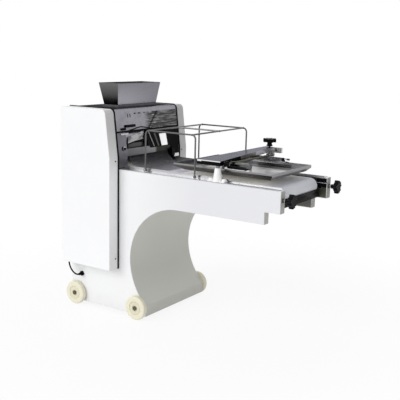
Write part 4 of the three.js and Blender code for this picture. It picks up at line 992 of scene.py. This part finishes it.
# %% Star knobs
LOBES = 7
STAR_ROOT = 23.5
STAR_TIP = 34.0
STAR_THICK = 22
RIM_SHARE = 0.17
RIM_SUNK = 0.6
FACE_PROUD = 0.8
THREAD_ROOT = 0.88


def star(lobes, root, tip, thick):
    """A star grip that lies on the XY plane and stands up along Z, sizes in mm"""
    grip = turned([(root, 0), (root, thick)], sides=lobes * 2)
    edit(grip)
    part = FULL_TURN / (lobes * 2)
    rim = 2 * root * math.sin(part / 2) * RIM_SHARE

    def lobe_side(face):
        middle = face.calc_center_median()
        return abs(face.normal.z) < 0.5 and round(math.atan2(middle.y, middle.x) / part - 0.5) % 2 == 0

    pick(grip, lobe_side)
    bpy.ops.mesh.extrude_faces_move(TRANSFORM_OT_shrink_fatten={"value": (tip - root) * MM})
    for way in (1, -1):
        pick(grip, lambda face: face.normal.z * way > 0.9)
        bpy.ops.mesh.inset(thickness=rim * MM, depth=RIM_SUNK * MM)
        bpy.ops.mesh.inset(thickness=rim * MM, depth=-FACE_PROUD * MM)
    bpy.ops.object.mode_set(mode="OBJECT")
    applied(grip, "SUBSURF", levels=2, render_levels=2)
    return outward(grip)


def thread(radius, low, high, pitch):
    """A threaded bar along Z, drawn as close ridges"""
    ridges = int((high - low) / pitch)
    steps = []
    for ridge in range(ridges):
        foot = low + ridge * pitch
        steps += [(radius * THREAD_ROOT, foot), (radius, foot + pitch / 2)]
    return turned([*steps, (radius * THREAD_ROOT, low + ridges * pitch)], sides=20)


TENSION_Z = 718
TENSION_Y = 240
SCREW_START = 862
SCREW_END = 936
SCREW_RADIUS = 6
SCREW_PITCH = 2.5
GRIP_START = 951.6
COLLAR_START = GRIP_START - 18
COLLAR = [(8, 0), (11, 1), (11, 14), (13.5, 17), (15, 19), (15, 23)]
NUT = [(9.6, 0), (10.6, 0.8), (10.6, 6.2), (9.6, 7)]
NUT_X = 920
NUT_EDGE = 0.3

grip = star(LOBES, STAR_ROOT, STAR_TIP, STAR_THICK)
print("star knob reaches", round(max(grip.dimensions.xy) * 500, 1), "mm from its axis")
stem = turned(COLLAR, sides=32)
screw = thread(SCREW_RADIUS, SCREW_START, SCREW_END, SCREW_PITCH)
nut = turned(NUT, sides=6)
for side, side_name in ((NEAR, "near"), (FAR, "far")):
    node = side_name + "_tension_knob"
    head, collar, bar, ring = (
        stand(twin(model), at(x, side * TENSION_Y, TENSION_Z), FACE_FRONT)
        for model, x in ((grip, GRIP_START), (stem, COLLAR_START), (screw, 0), (nut, NUT_X)))
    stand_in(bevelled(joined(head, collar), 0), node)
    dress(bevelled(bar, 0), side_name + "_tension_screw", body_of[node], "steel", "bright_steel")
    dress(bevelled(ring, NUT_EDGE), side_name + "_tension_nut", "body", "steel", "dark_bolt")
for model in (grip, stem, screw, nut):
    bpy.data.objects.remove(model)

# %% [markdown]
# The height knob is a wider, flatter star on a waisted stem, on the bridge's far end, and the cross
# screw has a small one. They could be scaled copies of the first star, but their lobes differ in number
# and thickness, so the same functions make them from other numbers.

# %% Height knob and guide knob
HEIGHT_X = 580
HEIGHT_Y = 243
HEIGHT_BASE = 885
HEIGHT_SCREW = 799
STEM = [(15, 0), (16, 1), (16, 5), (13, 7), (12, 13), (13, 18), (16, 23), (17, 26)]
HEIGHT_GRIP = 905.4
HEIGHT_STAR = {"lobes": 8, "root": 26, "tip": 35.5, "thick": 17.6}
CAP = [(11, 0), (11, 3), (9, 5), (5, 6)]
CAP_BASE = HEIGHT_GRIP + 12

grip, stem, cap, bar = (stand(model, at(HEIGHT_X, HEIGHT_Y, z)) for model, z in (
    (star(**HEIGHT_STAR), HEIGHT_GRIP),
    (turned(STEM, sides=40), HEIGHT_BASE),
    (turned(CAP, sides=40), CAP_BASE),
    (thread(SCREW_RADIUS, HEIGHT_SCREW, HEIGHT_BASE, SCREW_PITCH), 0)))
stand_in(bevelled(joined(grip, stem, cap), 0), "height_knob")
dress(bevelled(bar, 0), "height_screw", "height_control", "steel", "bright_steel")
GUIDE_KNOB_X = 614
GUIDE_KNOB_Z = 846
GUIDE_KNOB_Y = -222
GUIDE_STAR = {"lobes": 6, "root": 9, "tip": 13.6, "thick": 14.5}
GUIDE_COLLAR = [(6, 222.2), (8, 222.8), (8, 227), (7, 227.6)]
GUIDE_SCREW = {"radius": 5, "low": GUIDE_KNOB_Y - 6, "high": -GUIDE_KNOB_Y, "pitch": 3}
small = stand(star(**GUIDE_STAR), at(GUIDE_KNOB_X, GUIDE_KNOB_Y, GUIDE_KNOB_Z), FACE_NEAR)
print("guide knob reaches", round(max(small.dimensions.xz) * 500, 1), "mm from its axis")
dress(bevelled(small, 0), "guide_knob", "guide_spindle", "black_plastic")
bar = stand(thread(**GUIDE_SCREW), at(GUIDE_KNOB_X, 0, GUIDE_KNOB_Z), FACE_FAR)
collar = stand(turned(GUIDE_COLLAR, sides=32), at(GUIDE_KNOB_X, 0, GUIDE_KNOB_Z), FACE_FAR)
stand_in(bevelled(joined(bar, collar), 0), "guide_screw", "dark_bolt")
print("height knob reaches", round(max(grip.dimensions.xy) * 500, 1), "mm from its axis")

# %% [markdown]
# A dark strip stands on the inner edge of the far guide, where a dark line of shade runs along the guide:
# the strip is a dark piece put there as painted shade. It could be a shade in the guide's finish, but a thin
# rounded block rides the guide.

# %% Guide strip
STRIP_LOW = (532, 143.2, 833)
STRIP_HIGH = (720, 145.0, 847)
STRIP_EDGE = 0.4

strip = block(at(*STRIP_LOW), at(*STRIP_HIGH))
dress(bevelled(strip, STRIP_EDGE), "far_guide_shade_strip", "far_guide", "stainless", "far_guide_steel")
print("guide strip:", round(max(strip.dimensions) * 1000), "mm long")

# %% [markdown]
# The curling net is a mat of flat wire spirals, each hooked into the next. One image of it would not
# hang, so every spiral is real: one row is wound as a flat helix, copied along the line in which the
# net hangs and lies, and every second row is shifted by half a turn so that they hook.

# %% Curling net
NET_HALF = 165
NET_TURNS = 44
NET_STEPS = 6
NET_REACH = 4.6
NET_RISE = 0.55
NET_WIRE = 0.75
NET_PITCH = 6.0
NET_HANG = [(-9, 816.6), (-9, 788), (30, 758.8), (90, 758.8)]
NET_END = (291, 758.8)
HANG_STEPS = 12


def net_row(shift):
    route = []
    for step in range(NET_TURNS * NET_STEPS + 1):
        turn = (step / NET_STEPS + shift) * FULL_TURN
        across = (2 * step / (NET_TURNS * NET_STEPS) - 1) * NET_HALF
        route.append(Vector((math.sin(turn) * NET_REACH, across, math.cos(turn) * NET_RISE)) * MM)
    return rod(route, NET_WIRE * MM, roundness=0)


def even_stops(points, pitch):
    """Places along a line at an even pitch, each with the line's slope"""
    stops = []
    travelled = 0
    due = pitch / 2
    for (x0, z0), (x1, z1) in zip(points, points[1:]):
        length = math.hypot(x1 - x0, z1 - z0)
        while due <= travelled + length:
            share = (due - travelled) / length
            stops.append((x0 + (x1 - x0) * share, z0 + (z1 - z0) * share, math.atan2(z1 - z0, x1 - x0)))
            due += pitch
        travelled += length
    return stops


def hanging(share):
    """A point of the curve in which the net hangs, share 0 at the bar and 1 where it lies flat"""
    weights = [(1 - share) ** 3, 3 * share * (1 - share) ** 2, 3 * share ** 2 * (1 - share), share ** 3]
    return tuple(sum(weight * point[axis] for weight, point in zip(weights, NET_HANG)) for axis in (0, 1))


net_line = [hanging(step / HANG_STEPS) for step in range(HANG_STEPS + 1)] + [NET_END]
models = [net_row(0), net_row(0.5)]
rows = []
for count, (x, z, slope) in enumerate(even_stops(net_line, NET_PITCH)):
    rows.append(stand(twin(models[count % 2]), at(x, 0, z), (0, -slope, 0)))
for model in models:
    bpy.data.objects.remove(model)
net = joined(*rows)
bpy.ops.object.shade_smooth()
stand_in(net, "curling_net", "net_wire")
print("net:", len(rows), "rows,", len(net.data.polygons) * 2, "triangles")

# %% [markdown]
# The guard is a cage of bent stainless rod on two hinges. A wireframe modifier would leave square
# knots, so each rod is a line with true bends, and beads stand for the welds where rods meet.

# %% Guard cage
GUARD_REAR = 155
GUARD_FRONT = 450
GUARD_SIDES = (-240, 227.25)
GUARD_TOP = 967
GUARD_BEND = 20
HINGE_Z = 772
GUARD_FOOT = 764.5
ROD_RADIUS = 4.0
CUP = [(6, 0), (7, 1), (7, 8), (5, 10)]
ROD_END = 4
SLEEVE = [(4.4, -7), (6.4, -7), (7, -6.4), (7, 6.4), (6.4, 7), (4.4, 7), (4.4, 6)]
BEAD = {"major_radius": 4.2 * MM, "minor_radius": 1.3 * MM, "major_segments": 20, "minor_segments": 8}

rods = []
for y in GUARD_SIDES:
    hoop = [(GUARD_REAR, HINGE_Z + ROD_END), (GUARD_REAR, GUARD_TOP), (GUARD_FRONT, GUARD_TOP),
            (GUARD_FRONT, GUARD_FOOT + ROD_END)]
    rods.append(rod(bent([at(x, y, z) for x, z in hoop], GUARD_BEND * MM), ROD_RADIUS * MM))
    rods.append(stand(turned(CUP, sides=28), at(GUARD_FRONT, y, GUARD_FOOT)))
    rods.append(stand(turned(SLEEVE, sides=28), at(GUARD_REAR, y, HINGE_Z), FACE_NEAR))
for x in (GUARD_REAR + GUARD_BEND, GUARD_FRONT - GUARD_BEND):
    rods.append(rod([at(x, y, GUARD_TOP) for y in GUARD_SIDES], ROD_RADIUS * MM))
    for y in (GUARD_SIDES[0], 0, GUARD_SIDES[1]):
        deselect()
        bpy.ops.mesh.primitive_torus_add(location=at(x, y, GUARD_TOP), rotation=FACE_NEAR, **BEAD)
        bpy.ops.object.transform_apply(location=True, rotation=True, scale=True)
        rods.append(bpy.context.object)
rods.append(rod([at(GUARD_REAR + GUARD_BEND, 0, GUARD_TOP), at(GUARD_FRONT - GUARD_BEND, 0, GUARD_TOP)],
                ROD_RADIUS * MM))
stand_in(bevelled(outward(joined(*rods)), 0), "guard_cage", "rod_steel")
print("guard:", len(rods), "rods and beads")

# %% [markdown]
# The hopper's rim is hemmed: the sheet is folded over a wire. A bevel would round the sheet without
# making it thicker, so a closed rod runs round the rim, on the CAD hopper's own edge and no higher.

# %% Hopper hem
HEM_RADIUS = 1.7
HEM_BEND = 3
RIM_X = (-204, -75)
RIM_Y = 178
RIM_Z = 1183

rear, front = RIM_X[0] + HEM_RADIUS, RIM_X[1] - HEM_RADIUS
side = RIM_Y - HEM_RADIUS
ring = [at(x, y, RIM_Z - HEM_RADIUS) for x, y in ((rear, -side), (front, -side), (front, side), (rear, side))]
seam = (ring[0] + ring[1]) / 2
hem = bent([seam, *ring[1:], ring[0], seam], HEM_BEND * MM, steps=4)
dress(bevelled(outward(rod(hem[:-1], HEM_RADIUS * MM, closed=True)), 0), "hopper_hem", "body", "stainless",
      "hem_steel")
print("hem:", len(hem) - 1, "corners and steps")

# %% [markdown]
# Small fittings give the head its face: a latch, holes and slots in the front panel, the catch beside
# the window, bars on the dark shield and the bracket of the net bar. Each could be its own cell, but
# all are blocks between two corners, tilted with the panel and rounded, so one table holds them.

# %% Fittings of the head
LEAN = math.atan2(COVER_LEAN, COVER_TOP - COVER_BEND)
FITTING_SUNK = 0.5
FITTINGS = [
    ("panel_latch", (-151, 970), (9, 76, 14), 2.0, "black_plastic"),
    ("panel_latch_end", (-205, 957), (8, 34, 13), 4.0, "black_plastic"),
    # A dark strip under the front panel's lower edge, over the window, is painted shadow.
    ("window_edge_shadow", (-125, 944), (2.5, 262, 9), 1.0, "dark_sheet"),
    ("window_catch", (-201, 932), (5, 60, 9), 1.2, "stainless", "bright_steel"),
    # The holes and slots are dark patches, painted shade of the openings.
    ("panel_hole_0", (-103, 1031), (0.8, 14, 6), 0.3, "dark_sheet"),
    ("panel_hole_1", (-67, 1031), (0.8, 20, 6), 0.3, "dark_sheet"),
    ("panel_hole_2", (-26, 1031), (0.8, 9, 6), 0.3, "dark_sheet"),
    ("panel_slot_0", (-160, 1022), (0.8, 5, 18), 0.3, "dark_sheet"),
    ("panel_slot_1", (-142, 1022), (0.8, 5, 18), 0.3, "dark_sheet"),
    ("shield_bar_0", (10, 893), (6, 7, 94), 1.5, "stainless", "turned_steel", 0.46),
    ("shield_bar_1", (56, 885), (5, 14, 78), 1.5, "stainless", "hem_steel", 0.40),
    ("net_bracket", (188, 807), (14, 26, 40), 2.0, "black_plastic"),
    ("net_bracket_foot", (224, 788), (10, 44, 18), 1.5, "stainless", "bright_steel"),
]


def panel_x(z):
    """Where the face of the leaning front stands at a height"""
    return -COVER_LEAN * max(0, z - COVER_BEND) / (COVER_TOP - COVER_BEND)


def fitting(name, middle, size, edge, slot, finish=None, slant=0.0):
    """A small block on the leaning front: middle (y, z) on the panel, size (deep, wide, high)"""
    deep, wide, high = size
    y, z = middle
    half = Vector((0, wide / 2, high / 2)) * MM
    piece = block(Vector((-FITTING_SUNK * MM, 0, 0)) - half, Vector((deep * MM, 0, 0)) + half)
    piece = stand(piece, turn=(slant, 0, 0))
    piece = stand(piece, at(panel_x(z), y, z), (0, -LEAN, 0))
    return dress(bevelled(piece, edge), name, "body", slot, finish)


for row in FITTINGS:
    fitting(*row)
print("fittings on the head:", len(FITTINGS))

# %% [markdown]
# Behind the window a scraper strokes the lower roller: a bent blade on a dark carrier, with a rubber
# lip, and a cable above it. Only strips of them show, so blocks and rods are enough, but the blade has
# its corners moved, because its slant is what the eye meets first.

# %% Scraper and cable
SCRAPER = ((-24.8, -158, 879), (-22.6, -26, 939))
SCRAPER_DROP = -26
SCRAPER_RISE = 18.5
CARRIER = ((-25.2, -152, 852), (-23.4, -26, 880))
LIP_X = -22
LIP_RADIUS = 3.2
LIP = ((-150, 877), (-122, 883), (-93, 887), (-60, 889), (-26, 889.5))
CABLE_PROUD = 3.2
CABLE_RADIUS = 2.6
CABLE = ((-152, 949), (-128, 952), (-96, 957), (-62, 961), (-30, 956), (2, 951), (28, 948))
BLADE_EDGE = 0.5
HALF_WAY_Y = -0.1
HALF_WAY_Z = 0.9

scraper = block(at(*SCRAPER[0]), at(*SCRAPER[1]))
edit(scraper)
for test, move in ((lambda corner: corner.co.y < HALF_WAY_Y and corner.co.z > HALF_WAY_Z, SCRAPER_DROP),
                   (lambda corner: corner.co.y > HALF_WAY_Y and corner.co.z < HALF_WAY_Z, SCRAPER_RISE)):
    pick(scraper, test, "verts")
    bpy.ops.transform.translate(value=(0, 0, move * MM))
bpy.ops.object.mode_set(mode="OBJECT")
dress(bevelled(scraper, BLADE_EDGE), "scraper", "body", "stainless", "scraper_steel")
lip = rod([at(LIP_X, y, z) for y, z in LIP], LIP_RADIUS * MM)
dress(bevelled(lip, 0), "scraper_lip", "body", "black_rubber")
carrier = block(at(*CARRIER[0]), at(*CARRIER[1]))
dress(bevelled(carrier, BLADE_EDGE), "scraper_carrier", "body", "stainless", "hem_steel")
cable = rod([at(panel_x(z) + CABLE_PROUD, y, z) for y, z in CABLE], CABLE_RADIUS * MM)
dress(bevelled(cable, 0), "window_cable", "body", "black_rubber")
print("cable:", len(CABLE), "points")

# %% [markdown]
# Screws hold the covers, the rear panel, the near jamb and the feet of the posts. Dots in a material
# would not catch the light, so one domed head with a sunk socket is modelled at a radius of one
# millimetre, and copies are scaled, turned and moved. The jamb's washer and the post's caps are turned.

# %% Screws
SCREW_HEAD = [(1.0, 0), (1.0, 0.30), (0.92, 0.48), (0.70, 0.60), (0.48, 0.64), (0.44, 0.30)]
SCREWS = {
    "front": ([(0.2, -284, 803), (0.2, -284, 300), (0.2, 284, 811), (0.2, 284, 300)], FACE_FRONT, 4.0),
    "rear": ([(-326.2, side * 238, z) for side in (NEAR, FAR) for z in (60, 400, 740, 1020)], FACE_REAR, 5.0),
    "post": ([(544, 243, 768.2), (616, 243, 768.2)], FACE_UP, 5.5),
}
JAMB_BOLT = ((1.2, -213, 860), FACE_FRONT, 7)
BLOCK_SCREW = ((625, 235.8, 868), FACE_NEAR, 4.5)
WASHER = [(11, 0), (11, 0.8), (10, 1.2), (8, 1.2)]
WASHER_PLACE = (0.1, -213, 860)
POST_CAP = [(11, 0), (12, 1), (12, 8), (10, 10.5), (5, 12)]
POST_CAPS = [(544, -243, 767.9), (616, -243, 767.9)]

head = turned(SCREW_HEAD, sides=20)


def screw_head(place, turn, size):
    made = twin(head)
    made.scale = (size, size, size)
    return stand(made, at(*place), turn)


for group, (places, turn, size) in SCREWS.items():
    screws = [screw_head(place, turn, size) for place in places]
    dress(bevelled(joined(*screws), 0), group + "_screws", "body", "steel", "dark_bolt")
washer = stand(turned(WASHER, sides=36), at(*WASHER_PLACE), FACE_FRONT)
dress(bevelled(washer, 0), "jamb_washer", "body", "steel", "bright_steel")
dress(bevelled(screw_head(*JAMB_BOLT), 0), "jamb_bolt", "body", "black_plastic")
dress(bevelled(screw_head(*BLOCK_SCREW), 0), "end_block_screw", "board_carrier", "steel", "dark_bolt")
bpy.data.objects.remove(head)
caps = [stand(turned(POST_CAP, sides=32), at(*place)) for place in POST_CAPS]
dress(bevelled(joined(*caps), 0), "near_post_caps", "body", "white_nylon")
print("screws:", sum(len(places) for places, _, _ in SCREWS.values()) + 2)

# %% [markdown]
# Under the belt's nose hangs a dark apron, a sheet put there as painted shade below the nose. Three sheets
# could be joined, but a block with its back and top taken off and the rest given a thickness is folded from
# one sheet.

# %% Nose apron
APRON_X = (846, 881)
APRON_Z = (663, 703)
APRON_HALF = 213
APRON_SHEET = 1.6
APRON_EDGE = 0.5

apron = block(at(APRON_X[0], -APRON_HALF, APRON_Z[0]), at(APRON_X[1], APRON_HALF, APRON_Z[1]))
edit(apron)
pick(apron, lambda face: face.normal.z > 0.9 or face.normal.x < -0.9)
bpy.ops.mesh.delete(type="FACE")
bpy.ops.object.mode_set(mode="OBJECT")
applied(apron, "SOLIDIFY", thickness=APRON_SHEET * MM, offset=-1)
dress(bevelled(apron, APRON_EDGE), "nose_shade_apron", "body", "stainless", "nose_shade_steel")

# %% [markdown]
# Each arm is open on the inside, where the take-up slides in a dark slot with a bright guide rod. The
# slot could be cut into the arm, but it is shallow, so a thin black lining with a sunk face, whose black is
# painted shade of the slot, and a short rod stand for it.

# %% Take-up slots
SLOT_X = (866, 918)
SLOT_Z = (712, 754)
SLOT_FACE = 216.2
SLOT_PLATE = 0.6
SLOT_RIM = 2
SLOT_SUNK = 0.4
SLOT_EDGE = 0.1
ROD_RUN = (SLOT_X[0] + 2, SLOT_X[1])
ROD_Y = SLOT_FACE - 1.2
ROD_Z = 733
ROD_HALF = 2.2

lining = block(at(SLOT_X[0], SLOT_FACE, SLOT_Z[0]), at(SLOT_X[1], SLOT_FACE + SLOT_PLATE, SLOT_Z[1]))
edit(lining)
pick(lining, lambda face: face.normal.y < -0.9)
bpy.ops.mesh.inset(thickness=SLOT_RIM * MM, depth=-SLOT_SUNK * MM)
bpy.ops.object.mode_set(mode="OBJECT")
bevelled(lining, SLOT_EDGE)
guide_rod = bevelled(rod([at(x, ROD_Y, ROD_Z) for x in ROD_RUN], ROD_HALF * MM), 0)
near_lining = mirrored(lining)
near_rod = mirrored(guide_rod)
for side_name, plate, bar in (("far", lining, guide_rod), ("near", near_lining, near_rod)):
    dress(plate, side_name + "_slot_shade_lining", "body", "black_plastic")
    dress(bar, side_name + "_slot_rod", "body", "stainless", "bright_steel")
print("take-up slots: 2")

# %% [markdown]
# The gland is moulded in one with a tapered, ribbed strain relief. The ribs could be rings on a cone,
# but as steps of one turned profile, wide at the nut and narrow at the lead, they are one closed piece.

# %% Cord gland
GLAND_X = -251
GLAND_Z = 171
GLAND_Y = -260.2
GLAND_NUT = [(12.2, 0), (13, 0.8), (13, 7.2), (12.2, 8), (9.6, 8.2)]
GLAND_END = (4.6, 29.4)
GLAND_EDGE = 0.15
RIBS = [(8.8 - 0.75 * rib + dip, 8.6 + 4.2 * rib + rise) for rib in range(5)
        for dip, rise in ((0, 0), (0, 2.4), (-1.2, 2.8), (-1.2, 3.9))]

gland = turned([*GLAND_NUT, *RIBS, GLAND_END], sides=36)
stand_in(bevelled(stand(gland, at(GLAND_X, GLAND_Y, GLAND_Z), FACE_NEAR), GLAND_EDGE), "cord_gland")
print("gland:", len(RIBS), "steps of ribs")

# %% [markdown]
# The mains lead is clipped between its gland and the underside of the side cover. It never lies on
# the floor, and the picture shows it whole. A simulated cord could fall another way each time, so it
# is a curve through the same points as in the CAD source.

# %% Power lead
LEAD_DIAMETER = 0.008
LEAD_ROUTE = [(-0.56475, -0.2766, 0.171), (-0.56475, -0.288, 0.171), (-0.57175, -0.298, 0.173),
              (-0.58575, -0.304, 0.182), (-0.60375, -0.305, 0.199), (-0.61775, -0.302, 0.220),
              (-0.62475, -0.299, 0.240), (-0.62475, -0.299, 0.248)]
LEAD_STEPS = 5


def centripetal(points, steps):
    """A centripetal Catmull-Rom curve through the points"""
    stops = [Vector(point) for point in points]
    ends = [stops[0] * 2 - stops[1], *stops, stops[-1] * 2 - stops[-2]]
    route = []
    for four in zip(ends, ends[1:], ends[2:], ends[3:]):
        knots = [0.0]
        for here, there in zip(four, four[1:]):
            knots.append(knots[-1] + math.sqrt((there - here).length))
        for step in range(steps):
            t = knots[1] + (knots[2] - knots[1]) * step / steps
            row = four
            for reach in (1, 2):
                row = [here.lerp(there, (t - start) / (end - start))
                       for here, there, start, end in zip(row, row[1:], knots, knots[reach:])]
            route.append(row[0].lerp(row[1], (t - knots[1]) / (knots[2] - knots[1])))
    return [*route, stops[-1]]


lead_line = centripetal(LEAD_ROUTE, LEAD_STEPS)
lead_curve = bpy.data.curves.new("power_lead_made", "CURVE")
lead_curve.dimensions = "3D"
lead_curve.bevel_depth = LEAD_DIAMETER / 2
lead_curve.bevel_resolution = 5
lead_curve.use_fill_caps = True
spline = lead_curve.splines.new("POLY")
spline.points.add(len(lead_line) - 1)
for point, place in zip(spline.points, lead_line):
    point.co = (*place, 1)
lead = bpy.data.objects.new("power_lead_made", lead_curve)
scene.collection.objects.link(lead)
lead_curve.materials.append(MATERIALS["black_rubber"])
lead_length = sum((b - a).length for a, b in zip(lead_line, lead_line[1:]))
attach(lead, "body")
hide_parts("power_lead")
print("lead:", round(lead_length, 3), "m")
